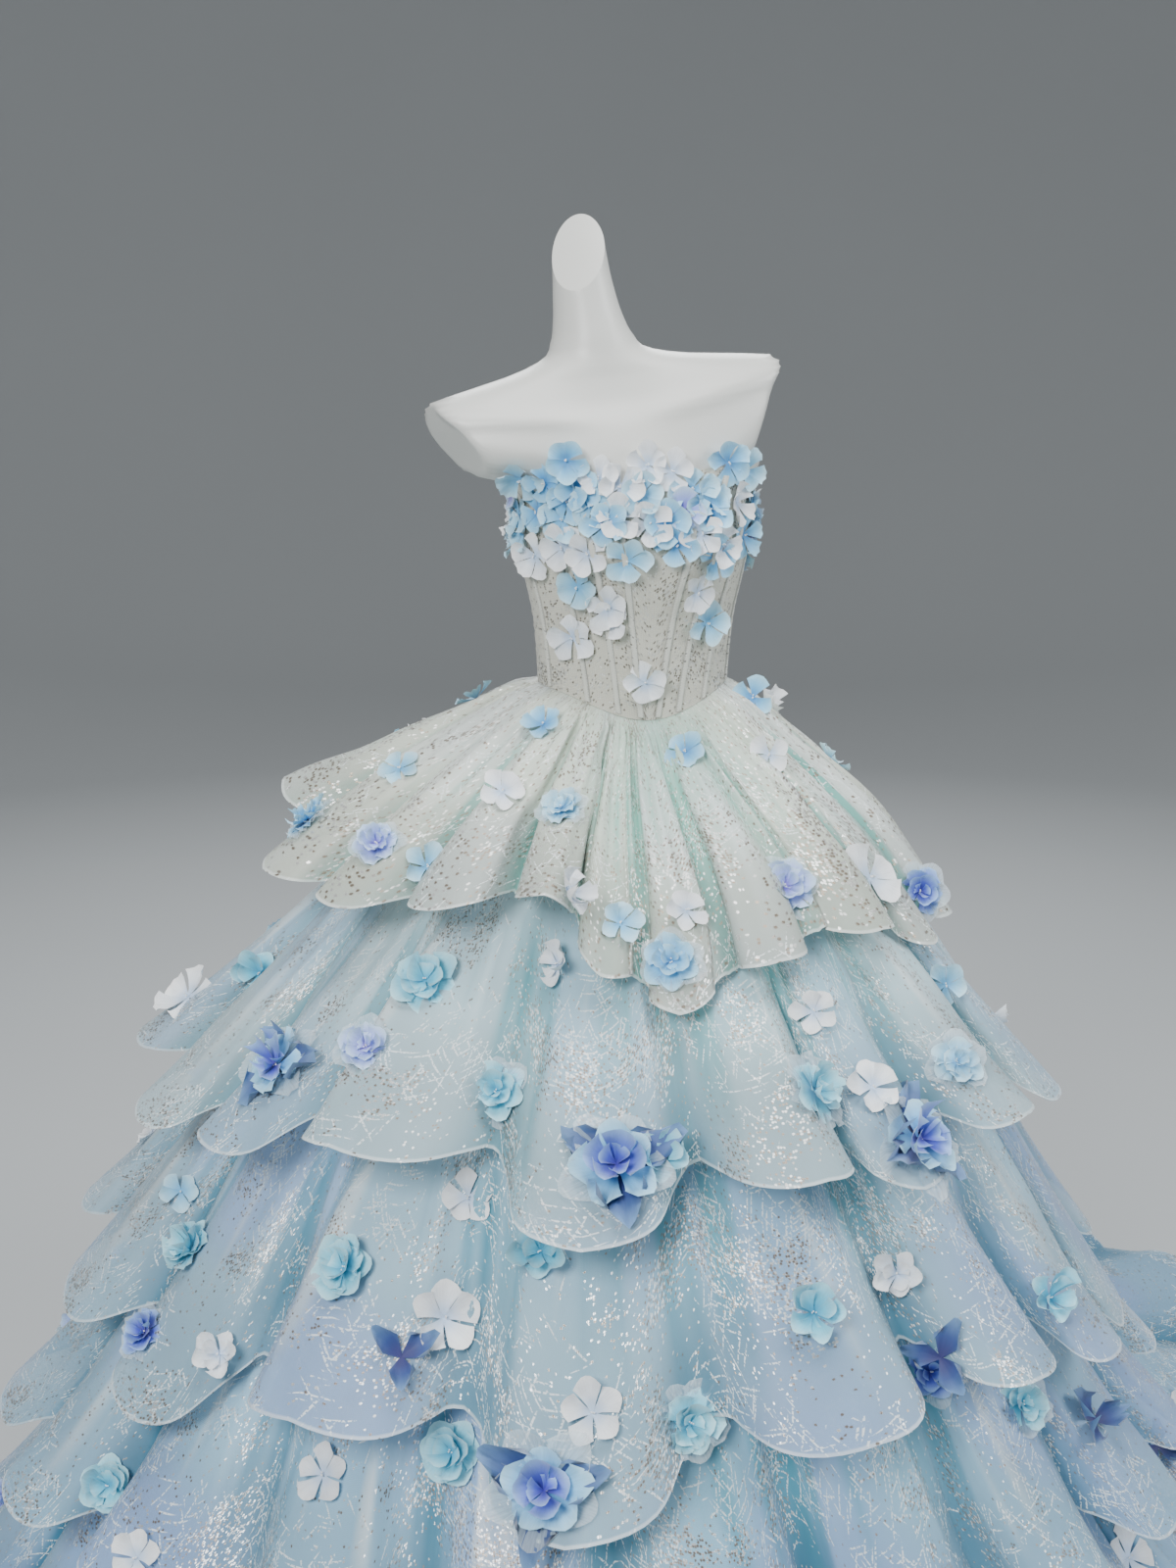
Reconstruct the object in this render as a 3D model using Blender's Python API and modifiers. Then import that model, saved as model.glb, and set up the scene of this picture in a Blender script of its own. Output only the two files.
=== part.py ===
"""A strapless ball gown with five scalloped flounces, standing on an armless dress form.

Metres, +Z up. The front faces -Y. The origin is on the floor, at the centre of the form's round base.
A bearing is an angle round the gown in degrees: 0 is the centre front, 90 is towards +X, 180 is the back.
Left and right are the wearer's: left is the +X side.
"""

import math
from collections import namedtuple

import bmesh
import bpy
import numpy as np
from mathutils import Vector
from mathutils.bvhtree import BVHTree

NAME = "ball_gown"

# Cloth and seams
CLOTH = 0.002            # wall of every cloth panel
GAP = 0.0003             # clear space between sewn pieces
EASE = 0.0031            # form's surface to the bodice's outer face
TAPE_STEP = 0.0006       # clear space under the zip's tape, where the panels below are faceted

# Heights of the gown
WAIST_SIDE = 1.078
WAIST_DIP = 0.033        # how far the waist seam dips at the centre front
NECKLINE_SIDE = 1.298
NECKLINE_PEAK = 0.020    # rise of the neckline over each cup
NECKLINE_NOTCH = 0.006   # dip between the cups
CUP_BEARING = 27.0
CUP_WIDTH = 19.0

# The form's own sections, from the hips to the neck. The upper body leans a little to -X.
Section = namedtuple("Section", "height half_width front back shift")
BODY = [
    Section(0.780, 0.062, 0.052, 0.052, 0.000),
    Section(0.800, 0.106, 0.082, 0.084, 0.000),
    Section(0.850, 0.138, 0.099, 0.106, 0.000),
    Section(0.930, 0.143, 0.102, 0.110, 0.000),
    Section(1.000, 0.1160, 0.0875, 0.0890, 0.000),
    Section(1.038, 0.1060, 0.0825, 0.0790, 0.000),
    Section(1.065, 0.1047, 0.0820, 0.0780, 0.000),
    Section(1.110, 0.1062, 0.086, 0.078, 0.000),
    Section(1.157, 0.1108, 0.092, 0.081, 0.000),
    Section(1.200, 0.1200, 0.101, 0.086, 0.000),
    Section(1.250, 0.1290, 0.108, 0.092, 0.000),
    Section(1.290, 0.1320, 0.106, 0.095, -0.002),
    Section(1.318, 0.1560, 0.100, 0.096, -0.010),
    Section(1.332, 0.1790, 0.096, 0.095, -0.016),
    Section(1.345, 0.2000, 0.091, 0.093, -0.022),
    Section(1.372, 0.2250, 0.079, 0.085, -0.030),
    Section(1.395, 0.2220, 0.067, 0.074, -0.034),
    Section(1.409, 0.1950, 0.058, 0.065, -0.035),
    Section(1.419, 0.1480, 0.053, 0.060, -0.037),
    Section(1.429, 0.0980, 0.051, 0.058, -0.040),
    Section(1.442, 0.0590, 0.048, 0.054, -0.043),
    Section(1.460, 0.0445, 0.045, 0.050, -0.047),
    Section(1.480, 0.0380, 0.041, 0.045, -0.051),
    Section(1.510, 0.0330, 0.036, 0.040, -0.056),
    Section(1.570, 0.0275, 0.031, 0.034, -0.063),
    Section(1.640, 0.0250, 0.028, 0.031, -0.070),
]
BUST_HEIGHT = 1.232
BUST_RISE = 0.013        # how far each cup stands out of the plain section
LEFT_TILT = 0.175        # rise of the left shoulder, which is the higher one, for each metre out
RIGHT_TILT = 0.11        # fall of the right shoulder
TILT_FROM = 1.29
TILT_FULL = 1.40
STUMP_REACH = 0.058      # how much fuller the right shoulder is just over the neckline
STUMP_RISE = 0.022       # height over the neckline in which it grows to that
STUMP_FADES = 1.365
STUMP_ENDS = 1.410
YOKE_HEIGHT = 1.332      # lowest level section over the neckline
YOKE_SHARE = 0.4         # place of the section between the neckline and that one
FORM_COLUMNS = 24

# Flat ends of the form: each shoulder is cut off at x, which changes with height and depth
ShoulderCut = namedtuple("ShoulderCut", "x height by_height by_depth lowest")
LEFT_CUT = ShoulderCut(0.164, 1.419, 0.46, 0.0, 1.320)
RIGHT_CUT = ShoulderCut(-0.226, 1.408, -0.50, -0.20, 1.300)
NECK_CUT_POINT = (-0.063, 0.0, 1.546)
NECK_CUT_FACING = (-0.44, -0.67, 0.59)
POLE_RADIUS = 0.014
BASE_RADIUS = 0.200
BASE_HEIGHT = 0.012

# Bodice: seams and boned channels fan out from the waist to the neckline
Line = namedtuple("Line", "name waist_bearing top_bearing")
SEAMS = [Line("front", 5.0, 21.0), Line("side_front", 37.0, 58.0), Line("side_back", 102.0, 102.0)]
CHANNELS = [
    Line("inner", 5.0, 21.0),
    Line("middle", 18.0, 38.0),
    Line("outer", 37.0, 58.0),
    Line("side", 68.0, 78.0),
    Line("back", 135.0, 135.0),
]
CHANNEL_WIDTH = 0.007
CHANNEL_HEIGHT = 0.0012
CHANNEL_STEP = 0.0008    # clear space under a channel, where the panel below is faceted
CHANNEL_ENDS = (0.02, 0.965)
BODICE_ROWS = 8
PANEL_STEP = 11.0        # widest bearing between two columns of a panel
ZIP_WIDTH = 0.008
ZIP_ENDS = (0.03, 0.955)

# Underskirt: radius at each height, and how far its lower part moves to -X
Ring = namedtuple("Ring", "height radius")
UNDERSKIRT = [
    Ring(1.070, 0.1080),
    Ring(1.020, 0.155),
    Ring(0.925, 0.251),
    Ring(0.830, 0.312),
    Ring(0.735, 0.367),
    Ring(0.535, 0.460),
    Ring(0.335, 0.532),
    Ring(0.170, 0.583),
    Ring(0.003, 0.630),
]
SKIRT_TOP = 1.070        # height at which the skirt has the waist's oval section
SKIRT_TOP_FRONT = 0.0855 # the top section's own half depths
SKIRT_TOP_BACK = 0.0812
SKIRT_ROUND = 0.86       # below this height the section is round
SKIRT_SHIFT = -0.060     # shift at the floor
UNDERSKIRT_COLUMNS = 40

# Flounces. Each is sewn to the underskirt at seam_height and has so many lobes all round.
# depth: how far the valleys lie inside the crests at the hem; drop: how much longer a lobe is than they are;
# round: 1 gives half-round crests, less gives broad crests with narrow valleys; sink and leave: powers that
# say how soon the wall falls and how soon it leaves the underskirt; swing: how far the crests lean.
Tier = namedtuple(
    "Tier", "name seam_height lobes depth drop round sink leave swing back_height back_radius rows",
)
TIERS = [
    Tier("flounce_1", None, 20, 0.048, 0.075, 0.85, 1.15, 0.85, 0.35, 0.860, 0.400, 4),
    Tier("flounce_2", 0.925, 18, 0.052, 0.090, 0.80, 1.00, 1.60, 0.45, 0.640, 0.540, 3),
    Tier("flounce_3", 0.735, 18, 0.056, 0.100, 0.80, 1.00, 1.60, 0.45, 0.420, 0.640, 3),
    Tier("flounce_4", 0.535, 20, 0.054, 0.085, 0.80, 1.00, 1.60, 0.40, 0.200, 0.720, 3),
    Tier("flounce_5", 0.335, 22, 0.050, 0.040, 0.80, 1.00, 1.50, 0.30, 0.003, 0.800, 4),
]
SEAM_CLEAR = 0.0005      # clear space between the underskirt and a flounce's wall, square to the slope
NEXT_TIER_ROOM = 0.038   # least room between a valley's hem and the underskirt, for the flounce below
HEM_LIFT = 0.003         # outer face of the lowest hem over the floor
WAIST_TUCK = 0.001       # how far the top flounce's edge lies inside the bodice's outer face
FLOUNCE_SEAM = 0.0006    # clear space between a flounce's front and back

# Front lobes of each flounce: bearing of the crest, height of the lobe's tip, radius of the crest at the hem
Lobe = namedtuple("Lobe", "bearing tip_height radius")
FRONT_LOBES = {
    "flounce_1": [
        Lobe(-121, 0.930, 0.400), Lobe(-102, 0.955, 0.400), Lobe(-82, 0.885, 0.422), Lobe(-61, 0.885, 0.412),
        Lobe(-44, 0.902, 0.395), Lobe(-27, 0.925, 0.375), Lobe(-18, 0.845, 0.372), Lobe(-5.5, 0.808, 0.385),
        Lobe(11, 0.850, 0.375), Lobe(31, 0.862, 0.370), Lobe(48, 0.815, 0.366), Lobe(66, 0.820, 0.362),
        Lobe(88, 0.850, 0.345), Lobe(106, 0.870, 0.350),
    ],
    "flounce_2": [
        Lobe(-124, 0.640, 0.560), Lobe(-104, 0.640, 0.585), Lobe(-83, 0.620, 0.572), Lobe(-62, 0.655, 0.556),
        Lobe(-44, 0.700, 0.540), Lobe(-17, 0.628, 0.532), Lobe(7, 0.682, 0.520), Lobe(19, 0.650, 0.518),
        Lobe(39, 0.675, 0.508), Lobe(60, 0.640, 0.500), Lobe(84, 0.560, 0.495), Lobe(108, 0.585, 0.505),
    ],
    "flounce_3": [
        Lobe(-126, 0.420, 0.660), Lobe(-106, 0.420, 0.668), Lobe(-86, 0.400, 0.664), Lobe(-65, 0.380, 0.650),
        Lobe(-42, 0.462, 0.630), Lobe(-17.5, 0.378, 0.618), Lobe(8.5, 0.453, 0.604), Lobe(28, 0.455, 0.598),
        Lobe(47, 0.400, 0.592), Lobe(68, 0.345, 0.584), Lobe(90, 0.360, 0.590), Lobe(111, 0.400, 0.612),
    ],
    "flounce_4": [
        Lobe(-116, 0.200, 0.750), Lobe(-96, 0.215, 0.752), Lobe(-76, 0.230, 0.742), Lobe(-58, 0.240, 0.726),
        Lobe(-40, 0.215, 0.708), Lobe(-22, 0.200, 0.694), Lobe(-4, 0.210, 0.684), Lobe(14, 0.190, 0.676),
        Lobe(32, 0.215, 0.668), Lobe(50, 0.205, 0.664), Lobe(69, 0.185, 0.664), Lobe(88, 0.200, 0.676),
        Lobe(108, 0.210, 0.700),
    ],
    "flounce_5": [
        Lobe(-108, 0.003, 0.836), Lobe(-90, 0.003, 0.842), Lobe(-72, 0.003, 0.828), Lobe(-55, 0.003, 0.808),
        Lobe(-38, 0.003, 0.788), Lobe(-22, 0.003, 0.772), Lobe(-6, 0.003, 0.760), Lobe(10, 0.003, 0.750),
        Lobe(26, 0.003, 0.744), Lobe(43, 0.003, 0.742), Lobe(60, 0.003, 0.750), Lobe(78, 0.003, 0.790),
        Lobe(96, 0.003, 0.870), Lobe(113, 0.003, 0.970),
    ],
}
BACK_UNEVEN_HEIGHT = 0.018
BACK_UNEVEN_RADIUS = 0.010
COLUMNS_A_LOBE = 6
TRAIN_BEARING = 150.0
TRAIN_SPREAD = 48.0
TRAIN_REACH = 0.330      # how much further the lowest hem lies out on the floor
TRAIN_FROM = 0.5         # share of the way down where the train begins to sweep out
TRAIN_LIFT = 0.004       # height of the train's upper face over the floor, where it lies

# Applied flowers: flounce, bearing, share of the way from seam to hem, width, petals
Flower = namedtuple("Flower", "host bearing down width petals")
SKIRT_FLOWERS = [
    Flower("flounce_1", -84, 0.82, 0.064, 7),
    Flower("flounce_1", -38, 0.67, 0.052, 5),
    Flower("flounce_1", -6, 0.86, 0.062, 7),
    Flower("flounce_1", 17.5, 0.83, 0.070, 7),
    Flower("flounce_1", 43, 0.81, 0.064, 5),
    Flower("flounce_2", -62, 0.76, 0.090, 7),
    Flower("flounce_2", -28, 0.80, 0.066, 5),
    Flower("flounce_2", -15, 0.82, 0.095, 7),
    Flower("flounce_2", 8.5, 0.77, 0.070, 7),
    Flower("flounce_2", 20.5, 0.90, 0.090, 7),
    Flower("flounce_3", -42.5, 0.62, 0.058, 5),
    Flower("flounce_3", -18.5, 0.90, 0.090, 7),
    Flower("flounce_3", -8, 0.93, 0.070, 7),
    Flower("flounce_3", 156, 0.84, 0.080, 7),
]
# Bodice flowers: bearing, share of the way up from waist to neckline, width
BodiceFlower = namedtuple("BodiceFlower", "bearing up width")
BODICE_FLOWERS = [
    BodiceFlower(-62, 0.88, 0.050),
    BodiceFlower(-41, 0.90, 0.048),
    BodiceFlower(-19, 0.84, 0.052),
    BodiceFlower(4, 0.86, 0.050),
    BodiceFlower(27, 0.90, 0.052),
    BodiceFlower(48, 0.88, 0.050),
    BodiceFlower(70, 0.88, 0.048),
    BodiceFlower(-24, 0.42, 0.046),
    BodiceFlower(24, 0.52, 0.046),
]
PETAL_WALL = 0.0015
PETAL_POINTS = 3
FLOWER_CUP = 0.24        # rise of a petal's tip, as a share of the flower's radius
SEAT_RAY = 0.02          # how far outside the cloth the search for a flower's seat starts
SEAT_STEP = 0.0004
SEAT_TRIES = 120
FLOWER_NOTCH = 0.50      # radius between two petals, as a share of the flower's radius

# Colours: red, green, blue, roughness
Finish = namedtuple("Finish", "red green blue roughness")
IVORY = Finish(0.72, 0.72, 0.64, 0.55)
MINT = Finish(0.60, 0.74, 0.68, 0.50)
PALE_BLUE = Finish(0.50, 0.67, 0.74, 0.50)
LIGHT_BLUE = Finish(0.40, 0.60, 0.72, 0.50)
AQUA = Finish(0.28, 0.55, 0.60, 0.45)
PETAL_BLUE = Finish(0.45, 0.68, 0.88, 0.60)
PETAL_WHITE = Finish(0.88, 0.91, 0.95, 0.60)
FORM_WHITE = Finish(0.86, 0.85, 0.82, 0.35)
STEEL = Finish(0.60, 0.61, 0.62, 0.30)
TIER_FINISH = [MINT, PALE_BLUE, PALE_BLUE, LIGHT_BLUE, LIGHT_BLUE]

for old in list(bpy.data.objects):
    bpy.data.objects.remove(old, do_unlink=True)
PARTS = bpy.data.collections.new(NAME)
bpy.context.scene.collection.children.link(PARTS)


def material(name, finish, metallic=0.0):
    """A plain material with a colour, roughness and metallic value."""
    made = bpy.data.materials.new(name)
    made.use_nodes = True
    shader = made.node_tree.nodes["Principled BSDF"]
    shader.inputs["Base Color"].default_value = (finish.red, finish.green, finish.blue, 1.0)
    shader.inputs["Roughness"].default_value = finish.roughness
    shader.inputs["Metallic"].default_value = metallic
    made.diffuse_color = (finish.red, finish.green, finish.blue, 1.0)
    return made


def add_object(name, mesh, finish, metallic=0.0):
    """Link a mesh to the gown's collection with its own material."""
    mesh.materials.append(material(name + "_finish", finish, metallic))
    made = bpy.data.objects.new(name, mesh)
    PARTS.objects.link(made)
    return made


def add_solidify(made, thickness, offset=-1.0):
    """Give an open surface its wall. Offset -1 puts the wall inside the surface, 1 outside."""
    wall = made.modifiers.new("wall", "SOLIDIFY")
    wall.thickness = thickness
    wall.offset = offset
    wall.use_rim = True


def sheet_mesh(name, points):
    """An open surface through a grid of points, rows from top to bottom, columns towards +bearing."""
    rows, columns = points.shape[:2]
    index = np.arange(rows * columns).reshape(rows, columns)
    corners = (index[:-1, :-1], index[1:, :-1], index[1:, 1:], index[:-1, 1:])
    quads = np.stack(corners, axis=-1).reshape(-1, 4)
    mesh = bpy.data.meshes.new(name)
    mesh.from_pydata(points.reshape(-1, 3).tolist(), [], quads.tolist())
    surface = bmesh.new()
    surface.from_mesh(mesh)
    bmesh.ops.triangulate(surface, faces=surface.faces[:], quad_method="SHORT_EDGE")
    surface.to_mesh(mesh)
    surface.free()
    mesh.shade_smooth()
    return mesh


def add_fitted(name, outer, inner, finish):
    """A panel lofted between its outer and inner grids, with edges square to the body."""
    rows, columns = outer.shape[:2]
    count = rows * columns
    index = np.arange(count).reshape(rows, columns)
    corners = (index[:-1, :-1], index[1:, :-1], index[1:, 1:], index[:-1, 1:])
    a, b, c, d = (corner.ravel() for corner in corners)
    flat = outer.reshape(-1, 3)
    short = np.linalg.norm(flat[a] - flat[c], axis=1) <= np.linalg.norm(flat[b] - flat[d], axis=1)
    first = np.where(short[:, None], np.stack([a, b, c], 1), np.stack([a, b, d], 1))
    second = np.where(short[:, None], np.stack([a, c, d], 1), np.stack([b, c, d], 1))
    skin = np.concatenate([first, second])
    faces = skin.tolist() + (skin[:, ::-1] + count).tolist()
    rim = index[0, ::-1].tolist() + index[1:, 0].tolist() + index[-1, 1:].tolist() + index[-2:0:-1, -1].tolist()
    for here, after in zip(rim, rim[1:] + rim[:1]):
        faces.append((after, here, here + count, after + count))
    mesh = bpy.data.meshes.new(name)
    mesh.from_pydata(flat.tolist() + inner.reshape(-1, 3).tolist(), [], faces)
    mesh.shade_smooth()
    return add_object(name, mesh, finish)


def add_cloth(name, points, finish):
    """A free cloth panel: the grid is its outer face, and the wall lies inside it."""
    made = add_object(name, sheet_mesh(name, points), finish)
    add_solidify(made, CLOTH)
    return made


def smooth_step(value, low, high):
    """0 below low, 1 above high, smooth between."""
    share = np.clip((value - low) / (high - low), 0.0, 1.0)
    return share * share * (3.0 - 2.0 * share)


def bell(value, centre, width):
    """A smooth bump of height 1 at the centre."""
    return np.exp(-(((value - centre) / width) ** 2))


def wrap(bearing):
    """The same bearing between -180 and 180."""
    return (np.asarray(bearing, float) + 180.0) % 360.0 - 180.0


def smooth_table(value, places, sizes):
    """A size read from a table along a smooth curve through its rows."""
    places = np.asarray(places, float)
    sizes = np.asarray(sizes, float)
    slopes = np.gradient(sizes, places)
    value = np.clip(value, places[0], places[-1])
    row = np.clip(np.searchsorted(places, value, side="right") - 1, 0, len(places) - 2)
    span = places[row + 1] - places[row]
    share = (value - places[row]) / span
    back = 1.0 - share
    ends = sizes[row] * back * back * (1.0 + 2.0 * share) + sizes[row + 1] * share * share * (3.0 - 2.0 * share)
    return ends + span * share * back * (slopes[row] * back - slopes[row + 1] * share)


def body_size(height, field):
    """One of the form's sizes at a height."""
    return smooth_table(height, [row.height for row in BODY], [getattr(row, field) for row in BODY])


def shoulder_end(cut, height, depth):
    """Where a shoulder's flat end lies at a height and depth."""
    return cut.x + cut.by_height * (height - cut.height) + cut.by_depth * depth


def body_point(bearing, height, out=0.0):
    """A point of the form's surface, moved out level by the given amount."""
    angle = np.radians(bearing)
    front = np.cos(angle) > 0.0
    depth = np.where(front, body_size(height, "front"), body_size(height, "back"))
    cups = bell(np.abs(wrap(bearing)), CUP_BEARING, CUP_WIDTH) * bell(height, BUST_HEIGHT, 0.050)
    depth = depth + BUST_RISE * cups + out
    width = body_size(height, "half_width") + out
    over = height - neckline_height(bearing)
    stump = smooth_step(over, 0.0, STUMP_RISE) - smooth_step(height, STUMP_FADES, STUMP_ENDS)
    x = width * np.sin(angle) + body_size(height, "shift")
    x = x - STUMP_REACH * stump * bell(wrap(bearing), -90.0, 42.0)
    y = -depth * np.cos(angle)
    x = np.where(height > LEFT_CUT.lowest, np.minimum(x, shoulder_end(LEFT_CUT, height, y)), x)
    x = np.where(height > RIGHT_CUT.lowest, np.maximum(x, shoulder_end(RIGHT_CUT, height, y)), x)
    tilt = np.where(x > 0.0, LEFT_TILT, RIGHT_TILT)
    lift = tilt * x * smooth_step(height, TILT_FROM, TILT_FULL)
    return np.stack(np.broadcast_arrays(x, y, height + lift), axis=-1)


def waist_height(bearing):
    """Height of the waist seam, which dips to a point at the centre front."""
    return WAIST_SIDE - WAIST_DIP * bell(wrap(bearing), 0.0, 42.0)


def neckline_height(bearing):
    """Height of the bodice's upper edge: a soft peak over each cup."""
    turn = np.abs(wrap(bearing))
    peaks = NECKLINE_PEAK * bell(turn, CUP_BEARING + 4.0, 26.0)
    return NECKLINE_SIDE + peaks - NECKLINE_NOTCH * bell(turn, 0.0, 12.0)


def bodice_point(bearing, up, out=0.0):
    """A point of the bodice's outer face, a share of the way up from waist to neckline."""
    low = waist_height(bearing)
    height = low + (neckline_height(bearing) - low) * up
    return body_point(bearing, height, EASE + out)


def panel_point(bearing, up, out=0.0):
    """The same point on the flat facets between the panels' rows, for what lies on a panel."""
    row = np.clip(np.floor(up * (BODICE_ROWS - 1)), 0, BODICE_ROWS - 2)
    low = row / (BODICE_ROWS - 1)
    share = ((up - low) * (BODICE_ROWS - 1) + 0.0 * np.asarray(bearing))[..., None]
    below = bodice_point(bearing, low, out)
    above = bodice_point(bearing, low + 1.0 / (BODICE_ROWS - 1), out)
    return below + (above - below) * share


def line_bearing(line, up):
    """Bearing of a seam or channel at a share of the way up."""
    return line.waist_bearing + (line.top_bearing - line.waist_bearing) * up


def bodice_panel(name, left, right):
    """A panel between two seams, each a function of the share of the way up."""
    ups = np.linspace(1.0, 0.0, BODICE_ROWS)[:, None]
    widest = max(right(1.0) - left(1.0), right(0.0) - left(0.0))
    count = max(2, math.ceil(widest / PANEL_STEP)) + 1
    across = np.linspace(0.0, 1.0, count)[None, :]
    half_gap = math.degrees(GAP / 2.0 / 0.11)
    low = left(ups) + half_gap
    high = right(ups) - half_gap
    bearings = low + (high - low) * across
    return add_fitted(name, bodice_point(bearings, ups), bodice_point(bearings, ups, -CLOTH), IVORY)


def seam(line, side):
    """A seam as a function of the share of the way up, on the +X (1) or -X (-1) side."""
    return lambda up: side * line_bearing(line, up)


def build_bodice():
    """Seven panels: centre front, and a side front, side and back on each side."""
    front, side_front, side_back = SEAMS
    bodice_panel("bodice_front_centre", seam(front, -1), seam(front, 1))
    bodice_panel("bodice_side_front_left", seam(front, 1), seam(side_front, 1))
    bodice_panel("bodice_side_front_right", seam(side_front, -1), seam(front, -1))
    bodice_panel("bodice_side_left", seam(side_front, 1), seam(side_back, 1))
    bodice_panel("bodice_side_right", seam(side_back, -1), seam(side_front, -1))
    bodice_panel("bodice_back_left", seam(side_back, 1), lambda up: 180.0 + 0.0 * up)
    bodice_panel("bodice_back_right", lambda up: -180.0 + 0.0 * up, seam(side_back, -1))


def bodice_strip(name, bearing_at, width, ends, out, thickness, finish):
    """A narrow strip that lies on the bodice, along a line given by its bearing at each share up."""
    rows = [up for up in np.linspace(1.0, 0.0, BODICE_ROWS) if ends[0] + 0.02 < up < ends[1] - 0.02]
    ups = np.array([ends[1], *rows, ends[0]])[:, None]
    across = np.array([-0.5, 0.5])[None, :] * width
    half_turn = np.degrees(across / 0.115)
    bearings = bearing_at(ups) + half_turn
    inner = panel_point(bearings, ups, out)
    return add_fitted(name, panel_point(bearings, ups, out + thickness), inner, finish)


def build_channels():
    """Boned channels on the outside of the bodice, in mirrored pairs."""
    for line in CHANNELS:
        for side, word in ((1, "left"), (-1, "right")):
            bodice_strip(
                f"channel_{line.name}_{word}", seam(line, side), CHANNEL_WIDTH, CHANNEL_ENDS,
                CHANNEL_STEP, CHANNEL_HEIGHT, IVORY,
            )


def build_zip():
    """The closed back zip: a narrow tape over the centre-back seam, and its slider at the top."""
    bodice_strip("back_zip", lambda up: 180.0 + 0.0 * up, ZIP_WIDTH, ZIP_ENDS, TAPE_STEP, CHANNEL_HEIGHT, IVORY)
    top = panel_point(180.0, ZIP_ENDS[1] - 0.05, TAPE_STEP + CHANNEL_HEIGHT + GAP)
    size = (0.005, 0.003, 0.011)
    shape = bmesh.new()
    bmesh.ops.create_cube(shape, size=1.0)
    bmesh.ops.scale(shape, vec=size, verts=shape.verts)
    # Turned to lie along the sloping back, with its inner face on the tape
    below = panel_point(180.0, ZIP_ENDS[1] - 0.15, TAPE_STEP + CHANNEL_HEIGHT + GAP)
    slope = math.atan2(float(top[1] - below[1]), float(top[2] - below[2]))
    mesh = bpy.data.meshes.new("zip_slider")
    shape.to_mesh(mesh)
    shape.free()
    slider = add_object("zip_slider", mesh, STEEL, 1.0)
    slider.rotation_euler = (-slope, 0.0, 0.0)
    slider.location = (float(top[0]), float(top[1]) + size[1] / 2.0 + GAP, float(top[2]))


def skirt_radius(height):
    """Radius of the underskirt at a height."""
    rings = sorted(UNDERSKIRT)
    return smooth_table(height, [ring.height for ring in rings], [ring.radius for ring in rings])


def skirt_point(bearing, height, out=0.0):
    """A point of the underskirt's outer face, moved out level by the given amount."""
    angle = np.radians(bearing)
    oval = smooth_step(height, SKIRT_ROUND, SKIRT_TOP)
    waist_depth = np.where(np.cos(angle) > 0.0, SKIRT_TOP_FRONT, SKIRT_TOP_BACK)
    depth_share = 1.0 + oval * (waist_depth / UNDERSKIRT[0].radius - 1.0)
    radius = skirt_radius(height)
    shift = SKIRT_SHIFT * (1.0 - height / SKIRT_TOP)
    dip = (waist_height(bearing) - WAIST_SIDE) * oval
    x = shift + (radius + out) * np.sin(angle)
    y = -(radius * depth_share + out) * np.cos(angle)
    return np.stack(np.broadcast_arrays(x, y, height + dip), axis=-1)


def build_underskirt():
    """Front and back panels of the underskirt, which the flounces are sewn to."""
    heights = np.array([ring.height for ring in UNDERSKIRT])[:, None]
    half_gap = np.degrees(GAP / 2.0 / skirt_radius(heights))
    across = np.linspace(0.0, 1.0, UNDERSKIRT_COLUMNS // 2 + 1)[None, :]
    for name, start in (("underskirt_front", -90.0), ("underskirt_back", 90.0)):
        bearings = start + half_gap + (180.0 - 2.0 * half_gap) * across
        add_fitted(name, skirt_point(bearings, heights), skirt_point(bearings, heights, -CLOTH), AQUA)


def lobes_of(tier):
    """All lobes of a flounce: the front ones from their table, the back ones spread evenly between."""
    lobes = list(FRONT_LOBES[tier.name])
    first, last = lobes[0], lobes[-1]
    missing = tier.lobes - len(lobes)
    free = first.bearing + 360.0 - last.bearing
    for number in range(1, missing + 1):
        share = number / (missing + 1)
        middle = math.sin(math.pi * share)
        height = last.tip_height + (first.tip_height - last.tip_height) * share
        radius = last.radius + (first.radius - last.radius) * share
        height += (tier.back_height - height) * middle
        radius += (tier.back_radius - radius) * middle
        if tier.name != TIERS[-1].name:
            height += BACK_UNEVEN_HEIGHT * math.sin(2.4 * number + tier.lobes)
        radius += BACK_UNEVEN_RADIUS * math.sin(1.7 * number + tier.lobes)
        bearing = last.bearing + free * share + 2.5 * math.sin(2.1 * number)
        lobes.append(Lobe(bearing, height, radius))
    return lobes


def seam_out(tier):
    """How far outside the underskirt a flounce's outer face starts, measured level."""
    height = SKIRT_TOP if tier.seam_height is None else tier.seam_height
    step = 0.02
    spread = skirt_radius(height - step) - skirt_radius(height)
    return (CLOTH + SEAM_CLEAR) * math.hypot(spread, step) / step


def seam_point(tier, bearing):
    """A point of the seam that holds a flounce. The top one is gathered under the bodice's edge."""
    if tier.seam_height is None:
        return bodice_point(bearing, 0.0, -WAIST_TUCK) - np.array((0.0, 0.0, GAP))
    return skirt_point(bearing, tier.seam_height, seam_out(tier))


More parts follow.
